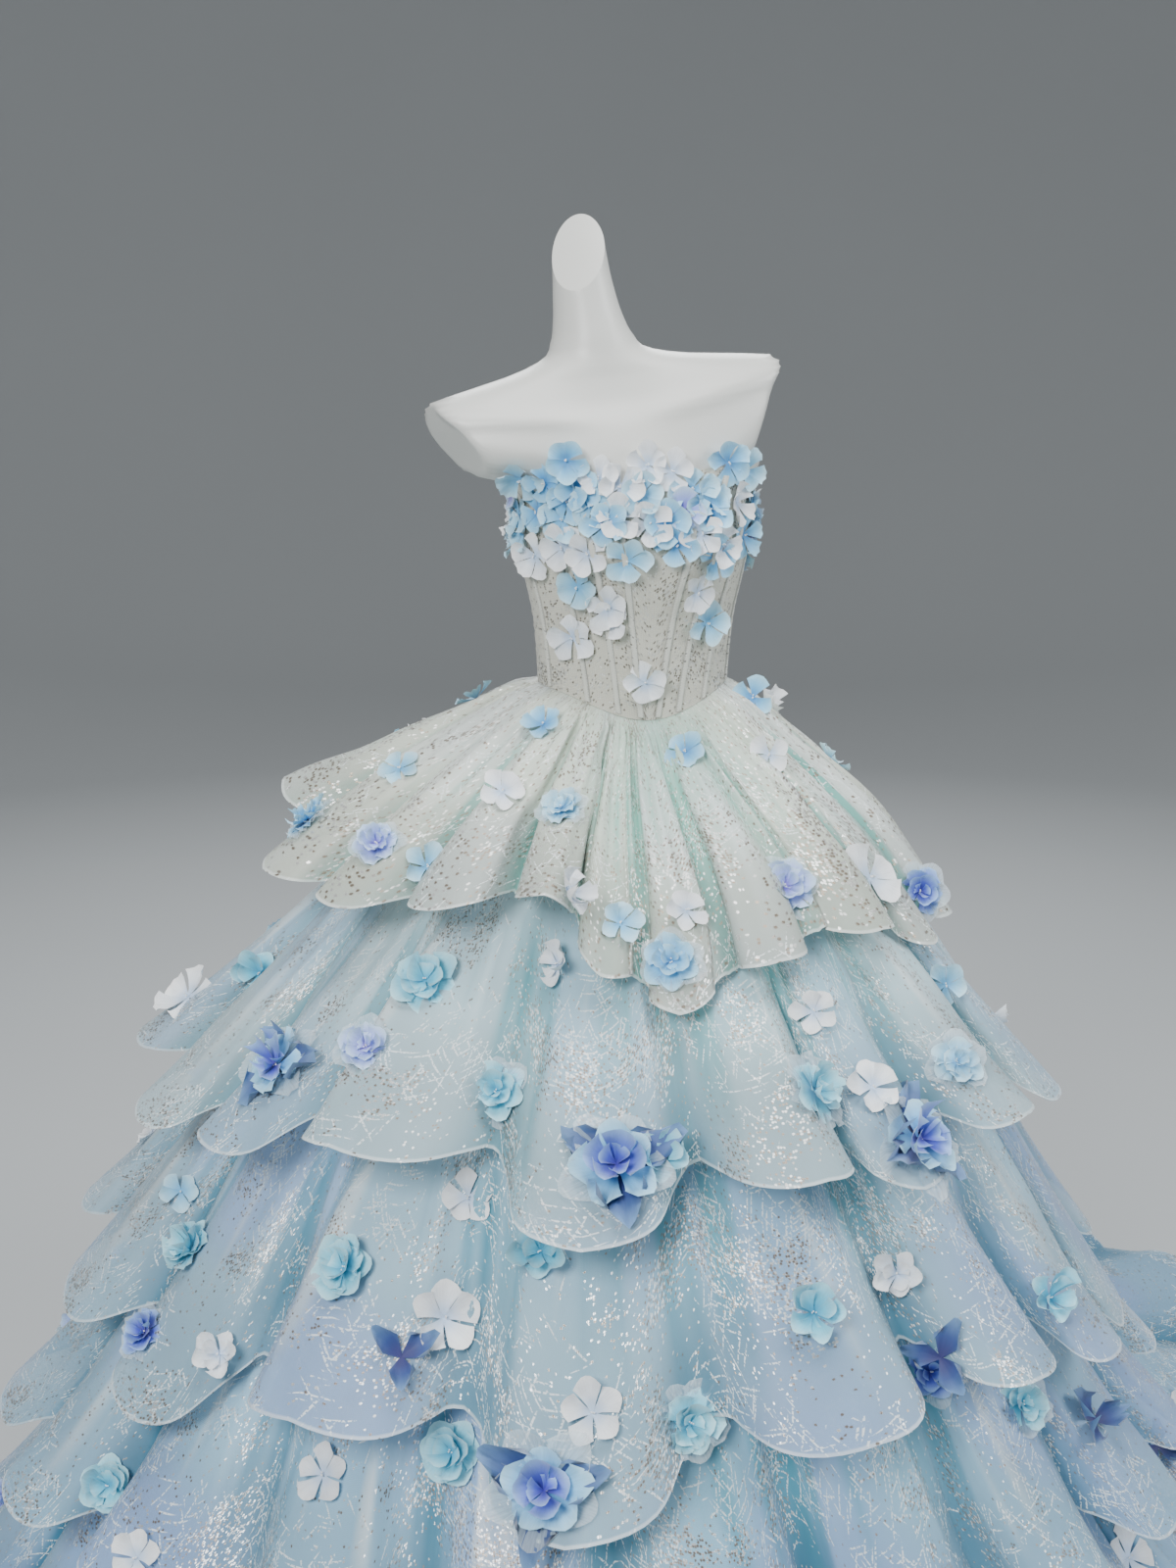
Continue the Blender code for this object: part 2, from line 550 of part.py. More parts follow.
def flounce_point(tier, turn, down):
    """A point of a flounce's outer face.

    turn counts lobes round the gown: a whole number is a crest, a half is the valley after it.
    down is 0 at the seam and 1 at the hem.
    """
    lobes = lobes_of(tier)
    count = len(lobes)
    steps = np.arange(-count, 2 * count)
    laps = np.repeat([-360.0, 0.0, 360.0], count)
    bearings = np.array([lobe.bearing for lobe in lobes] * 3) + laps
    bearing = np.interp(turn, steps, bearings)
    pitch = np.interp(turn + 0.5, steps, bearings) - np.interp(turn - 0.5, steps, bearings)
    tip_height = np.interp(turn, steps, [lobe.tip_height for lobe in lobes] * 3)
    radius = np.interp(turn, steps, [lobe.radius for lobe in lobes] * 3)

    away = turn - np.round(turn)
    crest = np.abs(np.cos(np.pi * away))

    # Broad crests, steep flanks, and a lean that changes from fold to fold
    lean = tier.swing * np.sin(1.3 * np.round(turn) + tier.lobes)
    spread = 0.45 * np.sin(2.0 * np.pi * away) + 0.26 * np.sin(4.0 * np.pi * away)
    spread = (spread + lean * crest * crest) / (2.0 * np.pi)
    hem_bearing = bearing + pitch * spread * down ** 0.8

    # The valleys lie square inside the crests, and the lobes reach further along the slope
    top = seam_point(tier, bearing)
    top_radius = np.hypot(top[..., 0], top[..., 1])
    slope = np.arctan2(top[..., 2] - tip_height, radius - top_radius)
    inside = tier.depth * (1.0 - crest ** tier.round)
    short = tier.drop * (1.0 - crest)
    hem_radius = radius - inside * np.sin(slope) - short * np.cos(slope)
    hem_height = np.maximum(tip_height - inside * np.cos(slope) + short * np.sin(slope), HEM_LIFT)
    angle = np.radians(hem_bearing)
    out = seam_out(tier)
    under = skirt_point(hem_bearing, hem_height, out)
    hem_radius = np.maximum(hem_radius, np.hypot(under[..., 0], under[..., 1]) + NEXT_TIER_ROOM)
    hem = np.stack(np.broadcast_arrays(hem_radius * np.sin(angle), -hem_radius * np.cos(angle)), axis=-1)

    # From seam to hem the wall leaves the underskirt little by little
    start = SKIRT_TOP if tier.seam_height is None else tier.seam_height
    sunk = start + (hem_height - start) * down ** tier.sink
    held = skirt_point(hem_bearing, sunk, out)
    held = held + (top - skirt_point(bearing, start, out)) * ((1.0 - down) ** 2)[..., None]
    level = held[..., :2] + (hem - under[..., :2]) * (down ** tier.leave)[..., None]
    height = held[..., 2]
    if tier.name == TIERS[-1].name:
        level, height = lay_train(level, height, hem_bearing, down)
    return np.concatenate([level, height[..., None]], axis=-1)


def lay_train(level, height, bearing, down):
    """Carry the lowest flounce out over the floor at the back, as a short train."""
    pull = bell(wrap(bearing - TRAIN_BEARING), 0.0, TRAIN_SPREAD)
    angle = np.radians(bearing)
    out = TRAIN_REACH * pull * smooth_step(down, TRAIN_FROM, 1.0)
    outward = np.stack(np.broadcast_arrays(np.sin(angle), -np.cos(angle)), axis=-1)
    laid = TRAIN_LIFT + (height - TRAIN_LIFT) * (1.0 - 0.9 * pull * smooth_step(down, TRAIN_FROM, 0.85))
    return level + outward * out[..., None], laid


def seam_turns(tier):
    """The two valleys, nearest to the sides, where the front and back of a flounce are joined."""
    bearings = [lobe.bearing for lobe in lobes_of(tier)]
    left = min(range(len(bearings)), key=lambda i: abs(wrap(bearings[i] + 95.0)))
    right = min(range(len(bearings)), key=lambda i: abs(wrap(bearings[i] - 95.0)))
    return left + 0.5, right + 0.5


def build_flounce(tier, finish):
    """The front and back panels of one flounce, joined in a valley at each side."""
    left, right = seam_turns(tier)
    downs = np.linspace(0.0, 1.0, tier.rows + 1)[:, None]
    for word, start, end in (("front", left, right), ("back", right, left + tier.lobes)):
        columns = round((end - start) * COLUMNS_A_LOBE) + 1
        turns = np.repeat(np.linspace(start, end, columns)[None, :], len(downs), axis=0)
        for column, side in ((0, 1.0), (-1, -1.0)):
            edge = flounce_point(tier, turns[:, column], downs[:, 0])
            pitch = 2.0 * math.pi * np.hypot(edge[:, 0], edge[:, 1]) / tier.lobes
            turns[:, column] += side * FLOUNCE_SEAM / 2.0 / pitch
        add_cloth(f"{tier.name}_{word}", flounce_point(tier, turns, downs), finish)


def turn_at(tier, bearing):
    """The lobe count at a bearing."""
    lobes = lobes_of(tier)
    bearings = [lobe.bearing for lobe in lobes]
    steps = np.arange(-len(lobes), 2 * len(lobes))
    laps = np.repeat([-360.0, 0.0, 360.0], len(lobes))
    return float(np.interp(bearing, np.array(bearings * 3) + laps, steps))


def flower_mesh(name, width, petals):
    """A cupped flower in its own plane: a fan whose outline dips between the petals."""
    radius = width / 2.0
    count = petals * PETAL_POINTS
    angles = 2.0 * np.pi * np.arange(count) / count
    notch = np.arange(count) % PETAL_POINTS == 0
    reach = np.where(notch, FLOWER_NOTCH, 1.0) * radius
    rise = FLOWER_CUP * radius * (reach / radius) ** 1.5
    outline = np.stack([reach * np.cos(angles), reach * np.sin(angles), rise], axis=-1)
    faces = [(count, i, (i + 1) % count) for i in range(count)]
    mesh = bpy.data.meshes.new(name)
    mesh.from_pydata(outline.tolist() + [(0.0, 0.0, 0.0)], [], faces)
    return mesh


def cloth_trees():
    """A search tree of every finished cloth panel, for seating the flowers."""
    bpy.context.view_layer.update()
    graph = bpy.context.evaluated_depsgraph_get()
    return [BVHTree.FromObject(made, graph) for made in PARTS.objects]


def seat_flower(name, place, facing, width, petals, finish, trees):
    """Set a flower on the cloth, moved out along its facing until it is just clear of every wall."""
    made = add_object(name, flower_mesh(name, width, petals), finish)
    add_solidify(made, PETAL_WALL, 1.0)
    made.rotation_euler = Vector(facing).to_track_quat("Z", "Y").to_euler()
    facing = Vector(facing).normalized()
    above = Vector(place) + facing * SEAT_RAY
    hits = [tree.ray_cast(above, -facing, 2.0 * SEAT_RAY) for tree in trees]
    nearest = min((hit[3] for hit in hits if hit[0] is not None), default=SEAT_RAY)
    place = above - facing * nearest
    for number in range(SEAT_TRIES):
        made.location = place + facing * (SEAT_STEP * number)
        bpy.context.view_layer.update()
        graph = bpy.context.evaluated_depsgraph_get()
        own = made.evaluated_get(graph)
        shape = own.to_mesh()
        corners = [own.matrix_world @ vertex.co for vertex in shape.vertices]
        faces = [tuple(face.vertices) for face in shape.polygons]
        own.to_mesh_clear()
        tree = BVHTree.FromPolygons(corners, faces)
        touching = any(tree.overlap(other) for other in trees)
        if not touching:
            made.location = place + facing * (SEAT_STEP * number + GAP)
            break
    bpy.context.view_layer.update()
    trees.append(BVHTree.FromPolygons([corner + facing * GAP for corner in corners], faces))
    return made


def surface_normal(point_at, first, second, step=0.01):
    """The outward direction of a surface of two parameters."""
    along = point_at(first + step, second) - point_at(first - step, second)
    down = point_at(first, second + step) - point_at(first, second - step)
    normal = np.cross(down, along)
    return normal / np.linalg.norm(normal)


def build_flowers():
    """The largest applied flowers, on the flounces and along the neckline."""
    trees = cloth_trees()
    tiers = {tier.name: tier for tier in TIERS}
    for number, flower in enumerate(SKIRT_FLOWERS, 1):
        tier = tiers[flower.host]

        def point_at(turn, down, tier=tier):
            return flounce_point(tier, np.array(turn), np.array(down)).reshape(3)

        turn = turn_at(tier, flower.bearing)
        facing = surface_normal(point_at, turn, flower.down)
        seat_flower(
            f"skirt_flower_{number:02d}", point_at(turn, flower.down), facing,
            flower.width, flower.petals, PETAL_BLUE, trees,
        )
    for number, flower in enumerate(BODICE_FLOWERS, 1):
        place = bodice_point(flower.bearing, flower.up)
        angle = math.radians(flower.bearing)
        facing = (math.sin(angle), -math.cos(angle), 0.10)
        seat_flower(
            f"bodice_flower_{number:02d}", place, facing, flower.width, 5,
            PETAL_WHITE if number % 3 == 0 else PETAL_BLUE, trees,
        )


def cut_flat(shape, point, facing):
    """Cut a closed shape with a plane, drop the side it faces and close the cut."""
    geometry = shape.verts[:] + shape.edges[:] + shape.faces[:]
    made = bmesh.ops.bisect_plane(
        shape, geom=geometry, dist=1e-6, plane_co=point, plane_no=facing, clear_outer=True,
    )
    rim = [item for item in made["geom_cut"] if isinstance(item, bmesh.types.BMEdge)]
    bmesh.ops.edgeloop_fill(shape, edges=rim)


def build_form():
    """The armless form: a loft through the body's sections, with flat shoulder ends and a slanted neck."""
    bearings = np.arange(FORM_COLUMNS) * 360.0 / FORM_COLUMNS - 180.0
    hips = [body_point(bearings, row.height) for row in BODY if row.height < WAIST_SIDE - WAIST_DIP - 0.005]
    worn = [bodice_point(bearings, up, -EASE) for up in np.linspace(0.0, 1.0, BODICE_ROWS)]
    edge = neckline_height(bearings)
    yoke = [body_point(bearings, edge + (YOKE_HEIGHT - edge) * YOKE_SHARE)]
    shoulders = [body_point(bearings, row.height) for row in BODY if row.height >= YOKE_HEIGHT]
    shape = bmesh.new()
    loops = [[shape.verts.new(point) for point in ring.tolist()] for ring in hips + worn + yoke + shoulders]
    for low, high in zip(loops, loops[1:]):
        for i in range(FORM_COLUMNS):
            after = (i + 1) % FORM_COLUMNS
            shape.faces.new((low[i], low[after], high[after], high[i]))
    shape.faces.new(loops[0][::-1])
    shape.faces.new(loops[-1])
    cut_flat(shape, NECK_CUT_POINT, NECK_CUT_FACING)
    bmesh.ops.recalc_face_normals(shape, faces=shape.faces[:])
    bmesh.ops.triangulate(shape, faces=shape.faces[:])
    mesh = bpy.data.meshes.new("form_torso")
    shape.to_mesh(mesh)
    shape.free()
    mesh.shade_smooth()
    add_object("form_torso", mesh, FORM_WHITE)
    add_cylinder("form_pole", POLE_RADIUS, BASE_HEIGHT + GAP, BODY[0].height - GAP, 16, STEEL, 1.0)
    add_cylinder("form_base", BASE_RADIUS, 0.0, BASE_HEIGHT, 40, FORM_WHITE)


def add_cylinder(name, radius, low, high, sides, finish, metallic=0.0):
    """An upright cylinder on the gown's axis between two heights."""
    shape = bmesh.new()
    bmesh.ops.create_cone(
        shape, cap_ends=True, segments=sides, radius1=radius, radius2=radius, depth=high - low,
    )
    mesh = bpy.data.meshes.new(name)
    shape.to_mesh(mesh)
    shape.free()
    made = add_object(name, mesh, finish, metallic)
    made.location.z = (low + high) / 2.0


build_form()
build_bodice()
build_channels()
build_zip()
build_underskirt()
for each, look in zip(TIERS, TIER_FINISH):
    build_flounce(each, look)
build_flowers()
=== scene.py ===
"""Looks for a strapless ball gown with five scalloped flounces, on an armless dress form.

Metres, +Z up, front towards -Y. A bearing is an angle round the gown in degrees: 0 is the centre
front and 90 is towards +X. Every surface is a function of two parameters, worked out on a grid.
"""

import logging
import math
from dataclasses import dataclass, field
from enum import Enum
from typing import Iterable, Optional, Sequence

import bmesh
import bpy
import numpy as np
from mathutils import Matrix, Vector
from mathutils.bvhtree import BVHTree


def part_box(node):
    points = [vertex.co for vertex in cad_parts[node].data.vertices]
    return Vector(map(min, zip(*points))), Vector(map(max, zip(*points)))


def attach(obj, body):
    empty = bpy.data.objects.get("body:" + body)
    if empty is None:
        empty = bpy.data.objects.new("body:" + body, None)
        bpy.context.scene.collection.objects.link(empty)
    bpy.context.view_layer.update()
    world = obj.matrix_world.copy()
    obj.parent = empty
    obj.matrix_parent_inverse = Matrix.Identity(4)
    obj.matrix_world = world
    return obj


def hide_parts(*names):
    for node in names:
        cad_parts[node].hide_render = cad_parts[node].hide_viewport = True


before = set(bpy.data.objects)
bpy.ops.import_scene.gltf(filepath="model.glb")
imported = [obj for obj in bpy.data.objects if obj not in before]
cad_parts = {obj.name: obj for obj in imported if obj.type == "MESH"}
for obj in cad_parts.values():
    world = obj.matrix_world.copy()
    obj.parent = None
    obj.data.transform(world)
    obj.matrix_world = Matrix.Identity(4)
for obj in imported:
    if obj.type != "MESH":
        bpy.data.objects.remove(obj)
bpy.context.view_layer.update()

LOG = logging.getLogger("ball_gown")
Array = np.ndarray
Colour = tuple[float, float, float]
Material = bpy.types.Material

FRAME_CENTRE = (600.0, 800.0)   # middle of the photograph's 1200 x 1600 frame
FOCAL_PIXELS = 2000.0           # focal length in the same pixels
SEAM_GAP = 0.00015              # half the gap between two panels
BODICE_RADIUS = 0.11            # mean radius, which turns lengths into bearings
CHANNEL_RADIUS = 0.115          # the same at the channels, over the cloth


def smooth_step(value: Array, low: float, high: float) -> Array:
    """0 below low, 1 above high, and a smooth cubic between them."""
    share = np.clip((np.asarray(value, float) - low) / (high - low), 0.0, 1.0)
    return share * share * (3.0 - 2.0 * share)


def bell(value: Array, centre: float, width: float) -> Array:
    """A smooth bump: e to the minus square of the distance from the centre in widths."""
    return np.exp(-(((value - centre) / width) ** 2))


def wrap(bearing: Array) -> Array:
    """The same bearing between -180 and 180."""
    return (np.asarray(bearing, float) + 180.0) % 360.0 - 180.0


def level_out(bearing: Array, parts: int = 2) -> Array:
    """Level directions away from the middle, in two or three parts: sine, minus cosine, nought."""
    angle = np.radians(bearing)
    return np.stack([np.sin(angle), -np.cos(angle), 0.0 * angle][:parts], axis=-1)


def smooth_table(value: Array, places: Sequence[float], sizes: Sequence[float]) -> Array:
    """Read a size from a table along a cubic curve through its rows.

    Args:
        value: Where to read.
        places: The rows' places, rising.
        sizes: The size at each row.

    Returns:
        The size at each value. Each span is a cubic whose end slopes are the table's own.
    """
    places = np.asarray(places, float)
    sizes = np.asarray(sizes, float)
    slopes = np.gradient(sizes, places)
    value = np.clip(value, places[0], places[-1])
    row = np.clip(np.searchsorted(places, value, side="right") - 1, 0, len(places) - 2)
    span = places[row + 1] - places[row]
    share = (value - places[row]) / span
    back = 1.0 - share
    first = sizes[row] * back * back * (1.0 + 2.0 * share)
    second = sizes[row + 1] * share * share * (3.0 - 2.0 * share)
    return first + second + span * share * back * (slopes[row] * back - slopes[row + 1] * share)


def scatter(seed: float, count: int) -> Array:
    """Repeatable uneven numbers from 0 to 1: the fraction of a large sine of each place."""
    return np.modf(np.abs(np.sin(np.arange(1, count + 1) * 12.9898 + seed * 78.233) * 43758.5453))[0]


def lengths(points: Array, axis: int) -> Array:
    """Running length along an axis of a grid of points, starting at 0."""
    steps = np.linalg.norm(np.diff(points, axis=axis), axis=-1)
    shape = list(steps.shape)
    shape[axis] = 1
    return np.concatenate([np.zeros(shape), np.cumsum(steps, axis=axis)], axis=axis)


@dataclass
class Grid:
    """A surface as a grid of points, rows from top to bottom and columns towards +bearing.

    Attributes:
        points: Rows x columns x 3.
        uv: Rows x columns x 2, in metres of cloth.
        values: Named numbers for each point.
        ring: Whether the last column joins the first.
    """

    points: Array
    uv: Optional[Array] = None
    values: dict[str, Array] = field(default_factory=dict)
    ring: bool = False

    def quads(self) -> Array:
        """Corner numbers of every quad, outward when columns run towards +bearing."""
        rows, columns = self.points.shape[:2]
        index = np.arange(rows * columns).reshape(rows, columns)
        if self.ring:
            index = np.concatenate([index, index[:, :1]], axis=1)
        corners = (index[:-1, :-1], index[1:, :-1], index[1:, 1:], index[:-1, 1:])
        return np.stack(corners, axis=-1).reshape(-1, 4)

    def area(self) -> float:
        """Area of the surface: half the length of each quad's crossed diagonals."""
        flat = self.points.reshape(-1, 3)
        a, b, c, d = (flat[self.quads()[:, i]] for i in range(4))
        return float(np.linalg.norm(np.cross(c - a, d - b), axis=1).sum() / 2.0)

    def tree(self) -> BVHTree:
        """A search tree of the surface."""
        return BVHTree.FromPolygons(self.points.reshape(-1, 3).tolist(), self.quads().tolist())

    def mesh(self, name: str) -> bpy.types.Mesh:
        """The surface as a mesh with its cloth UV map and values."""
        quads = self.quads()
        made = bpy.data.meshes.new(name)
        made.from_pydata(self.points.reshape(-1, 3).tolist(), [], quads.tolist())
        if self.uv is not None:
            layer = made.uv_layers.new(name="cloth")
            layer.data.foreach_set("uv", self.uv.reshape(-1, 2)[quads.ravel()].astype(np.float32).ravel())
        for word, numbers in self.values.items():
            store = made.attributes.new(word, "FLOAT", "POINT")
            full = np.broadcast_to(numbers, self.points.shape[:2])
            store.data.foreach_set("value", np.ascontiguousarray(full, np.float32).ravel())
        made.shade_smooth()
        self.sharpen_border(made)
        return made

    def sharpen_border(self, made: bpy.types.Mesh) -> None:
        """Mark the border's edges sharp, so that the wall's rim doesn't shade the cloth beside it."""
        rows, columns = self.points.shape[:2]
        border = np.zeros((rows, columns), bool)
        border[[0, -1]] = True
        if not self.ring:
            border[:, [0, -1]] = True
        ends = np.empty(len(made.edges) * 2, np.int32)
        made.edges.foreach_get("vertices", ends)
        sharp = border.ravel()[ends].reshape(-1, 2).all(axis=1)
        store = made.attributes.new("sharp_edge", "BOOLEAN", "EDGE")
        store.data.foreach_set("value", sharp)


def piece(name: str, mesh: bpy.types.Mesh, nodes: Iterable[str] = ()) -> bpy.types.Object:
    """Link a finished mesh as a piece that rides on the gown's body.

    Args:
        name: The piece's name.
        mesh: Its mesh, in the gown's own frame.
        nodes: CAD nodes that it stands for.

    Returns:
        The new object.
    """
    made = bpy.data.objects.new(name, mesh)
    bpy.context.scene.collection.objects.link(made)
    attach(made, "root")
    nodes = list(nodes)
    if nodes:
        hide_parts(*nodes)
    LOG.info("%s: %d faces", name, len(mesh.polygons))
    return made


def give_wall(made: bpy.types.Object, thickness: float) -> None:
    """Give a cloth surface its wall, inside the surface."""
    wall = made.modifiers.new("wall", "SOLIDIFY")
    wall.thickness = thickness
    wall.offset = -1.0
    wall.use_rim = True


class Sketch:
    """A short way to add nodes to a tree and join them."""

    def __init__(self, tree: bpy.types.NodeTree) -> None:
        """Work on the given tree."""
        self.tree = tree

    def add(self, kind: str, inputs: Optional[dict] = None, **settings) -> bpy.types.Node:
        """Add a node, set its properties, and fill or join its inputs.

        Args:
            kind: The node's type.
            inputs: Value or output socket for each input, by name or number.
            **settings: Properties of the node.

        Returns:
            The new node.
        """
        node = self.tree.nodes.new(kind)
        for word, value in settings.items():
            setattr(node, word, value)
        return self.fill(node, inputs or {})

    def fill(self, node: bpy.types.Node, inputs: dict) -> bpy.types.Node:
        """Fill or join a node's inputs, and return the node."""
        for key, value in inputs.items():
            if isinstance(value, bpy.types.NodeSocket):
                self.tree.links.new(value, node.inputs[key])
            else:
                node.inputs[key].default_value = value
        return node

    def value(self, word: str):
        """A number that the mesh stores for each point."""
        return self.add("ShaderNodeAttribute", attribute_name=word).outputs["Fac"]

    def math(self, operation: str, first, second=0.0, third=0.0, clamp: bool = False):
        """One arithmetic step on numbers or sockets."""
        inputs = {0: first, 1: second, 2: third}
        return self.add("ShaderNodeMath", inputs, operation=operation, use_clamp=clamp).outputs[0]

    def scaled(self, vector, factor):
        """A vector times a number."""
        inputs = {0: vector, "Scale": factor}
        return self.add("ShaderNodeVectorMath", inputs, operation="SCALE").outputs[0]

    def moved(self, vector, offset):
        """The sum of two vectors."""
        return self.add("ShaderNodeVectorMath", {0: vector, 1: offset}, operation="ADD").outputs[0]

    def times(self, first, second):
        """The product of two numbers."""
        return self.math("MULTIPLY", first, second)

    def step(self, value, low, high):
        """A smooth step of a number from 0 at low to 1 at high."""
        inputs = {"Value": value, "From Min": low, "From Max": high}
        return self.add("ShaderNodeMapRange", inputs, interpolation_type="SMOOTHSTEP").outputs[0]

    def mix(self, factor, first, second, blend: str = "MIX"):
        """A mix of two colours."""
        ends = [end if isinstance(end, bpy.types.NodeSocket) else (*end[:3], 1.0) for end in (first, second)]
        inputs = {0: factor, 6: ends[0], 7: ends[1]}
        return self.add("ShaderNodeMix", inputs, data_type="RGBA", blend_type=blend).outputs[2]

    def shaded(self, colour, value):
        """A colour times a number."""
        grey = self.add("ShaderNodeCombineColor", {0: value, 1: value, 2: value}).outputs[0]
        return self.mix(1.0, colour, grey, "MULTIPLY")

    def bump(self, height, strength: float, distance: float):
        """The surface's direction, tilted by a height."""
        inputs = {"Height": height, "Strength": strength, "Distance": distance}
        return self.add("ShaderNodeBump", inputs).outputs[0]

    def noise(self, vector, scale: float, detail: float = 2.0, rough: float = 0.5):
        """Soft noise from 0 to 1."""
        inputs = {"Vector": vector, "Scale": scale, "Detail": detail, "Roughness": rough}
        return self.add("ShaderNodeTexNoise", inputs).outputs["Fac"]

    def group(self, tree: bpy.types.NodeTree, inputs: dict) -> bpy.types.Node:
        """Place a shared group with its own values."""
        return self.fill(self.add("ShaderNodeGroup", node_tree=tree), inputs)


def new_group(name: str, numbers: dict[str, float], outputs: Sequence[str]):
    """Start a shader node group that works on a place and some numbers.

    Args:
        name: The group's name.
        numbers: First value of each named number that goes in, besides Vector.
        outputs: Names of the numbers that come out.

    Returns:
        The group's tree, a sketch of it, its inputs by name and its output node.
    """
    tree = bpy.data.node_groups.new(name, "ShaderNodeTree")
    tree.interface.new_socket(name="Vector", in_out="INPUT", socket_type="NodeSocketVector")
    for word, value in numbers.items():
        socket = tree.interface.new_socket(name=word, in_out="INPUT", socket_type="NodeSocketFloat")
        socket.default_value = value
    for word in outputs:
        tree.interface.new_socket(name=word, in_out="OUTPUT", socket_type="NodeSocketFloat")
    sketch = Sketch(tree)
    return tree, sketch, sketch.add("NodeGroupInput").outputs, sketch.add("NodeGroupOutput")


class SharedEffects:
    """Shader node groups that several of the gown's materials use."""

    def __init__(self) -> None:
        """Build every group once."""
        self.foil = self.build_foil()
        self.glitter = self.build_glitter()
        self.weave = self.build_weave()
        self.mottle = self.build_mottle()

    def build_foil(self) -> bpy.types.NodeTree:
        """Twig-like foil: short strokes at three angles, gathered in patches and broken by flakes."""
        numbers = {"Length": 0.075, "Line": 0.0046, "Cover": 0.3}
        tree, sketch, given, end = new_group("foil_twigs", numbers, ["Mask"])
        where = given["Vector"]
        inputs = {"Vector": where, "Scale": 14.0, "Detail": 0.0}
        cloud = sketch.add("ShaderNodeTexNoise", inputs).outputs["Color"]
        bent = sketch.moved(where, sketch.scaled(cloud, 0.012))
        patches = sketch.step(sketch.noise(sketch.scaled(where, 8.0), 1.0, 2.0, 0.6), 0.44, 0.58)
        share = sketch.times(given["Cover"], patches)
        size = sketch.add("ShaderNodeCombineXYZ", {
            0: sketch.math("DIVIDE", 1.0, given["Line"]),
            1: sketch.math("DIVIDE", 1.0, given["Length"]),
        }).outputs[0]
        mask = 0.0
        for angle in (0.35, 1.30, 2.50):
            inputs = {"Vector": bent, "Angle": angle}
            turned = sketch.add("ShaderNodeVectorRotate", inputs, rotation_type="Z_AXIS").outputs[0]
            drawn = sketch.add("ShaderNodeVectorMath", {0: turned, 1: size}, operation="MULTIPLY").outputs[0]
            cells = sketch.add(
                "ShaderNodeTexVoronoi", {"Vector": drawn, "Scale": 1.0, "Randomness": 1.0},
                feature="F1", voronoi_dimensions="2D",
            )
            parts = sketch.add("ShaderNodeSeparateColor", {"Color": cells.outputs["Color"]})
            stroke = sketch.step(cells.outputs["Distance"], 0.26, 0.15)
            kept = sketch.math("LESS_THAN", parts.outputs[0], share)
            mask = sketch.math("MAXIMUM", mask, sketch.times(stroke, kept))
        flakes = sketch.step(sketch.noise(where, 320.0, 1.0), 0.42, 0.52)
        sketch.fill(end, {"Mask": sketch.times(mask, flakes)})
        return tree

    def build_glitter(self) -> bpy.types.NodeTree:
        """Glitter: small cells lit by a random number, gathered into drifts by slow noise."""
        numbers = {"Grain": 0.0022, "Cover": 0.3, "Drift": 0.11, "Even": 0.06}
        tree, sketch, given, end = new_group("glitter_drifts", numbers, ["Mask", "Tint"])
        where = given["Vector"]
        size = sketch.math("DIVIDE", 1.0, given["Grain"])
        cells = sketch.add(
            "ShaderNodeTexVoronoi", {"Vector": sketch.scaled(where, size), "Scale": 1.0, "Randomness": 1.0},
            feature="F1", voronoi_dimensions="2D",
        )
        parts = sketch.add("ShaderNodeSeparateColor", {"Color": cells.outputs["Color"]})
        slow = sketch.scaled(where, sketch.math("DIVIDE", 1.0, given["Drift"]))
        drift = sketch.noise(slow, 1.0, 2.0, 0.65)
        swell = sketch.step(drift, 0.50, 0.66)
        gathered = sketch.math("ADD", swell, given["Even"])
        share = sketch.times(given["Cover"], gathered)
        lit = sketch.math("LESS_THAN", parts.outputs[0], share)
        dot = sketch.step(cells.outputs["Distance"], 0.62, 0.30)
        sketch.fill(end, {"Mask": sketch.times(lit, dot), "Tint": parts.outputs[1]})
        return tree

    def build_weave(self) -> bpy.types.NodeTree:
        """A plain weave: the larger of two crossed sine waves, with slubs."""
        numbers = {"Thread": 0.0012, "Slub": 0.3}
        tree, sketch, given, end = new_group("plain_weave", numbers, ["Height"])
        turn = sketch.math("DIVIDE", 6.2832, given["Thread"])
        parts = sketch.add("ShaderNodeSeparateXYZ", {"Vector": sketch.scaled(given["Vector"], turn)})
        over = sketch.math("SINE", parts.outputs[0])
        across = sketch.math("SINE", parts.outputs[1])
        threads = sketch.math("MULTIPLY_ADD", sketch.math("MAXIMUM", over, across), 0.5, 0.5)
        slubs = sketch.noise(given["Vector"], 90.0, 0.0)
        rough = sketch.times(slubs, given["Slub"])
        sketch.fill(end, {"Height": sketch.math("ADD", threads, rough)})
        return tree

    def build_mottle(self) -> bpy.types.NodeTree:
        """Slow unevenness of a dyed surface, round 1."""
        tree, sketch, given, end = new_group("dye_mottle", {"Size": 0.12, "Depth": 0.12}, ["Value"])
        spot = sketch.scaled(given["Vector"], sketch.math("DIVIDE", 1.0, given["Size"]))
        cloud = sketch.math("SUBTRACT", sketch.noise(spot, 1.0, 1.0, 0.55), 0.5)
        sketch.fill(end, {"Value": sketch.math("MULTIPLY_ADD", cloud, given["Depth"], 1.0)})
        return tree


def start_material(name: str) -> tuple[Material, Sketch, bpy.types.Node]:
    """A new material, a sketch of its tree, and its shader."""
    made = bpy.data.materials.new(name)
    made.use_nodes = True
    return made, Sketch(made.node_tree), made.node_tree.nodes["Principled BSDF"]


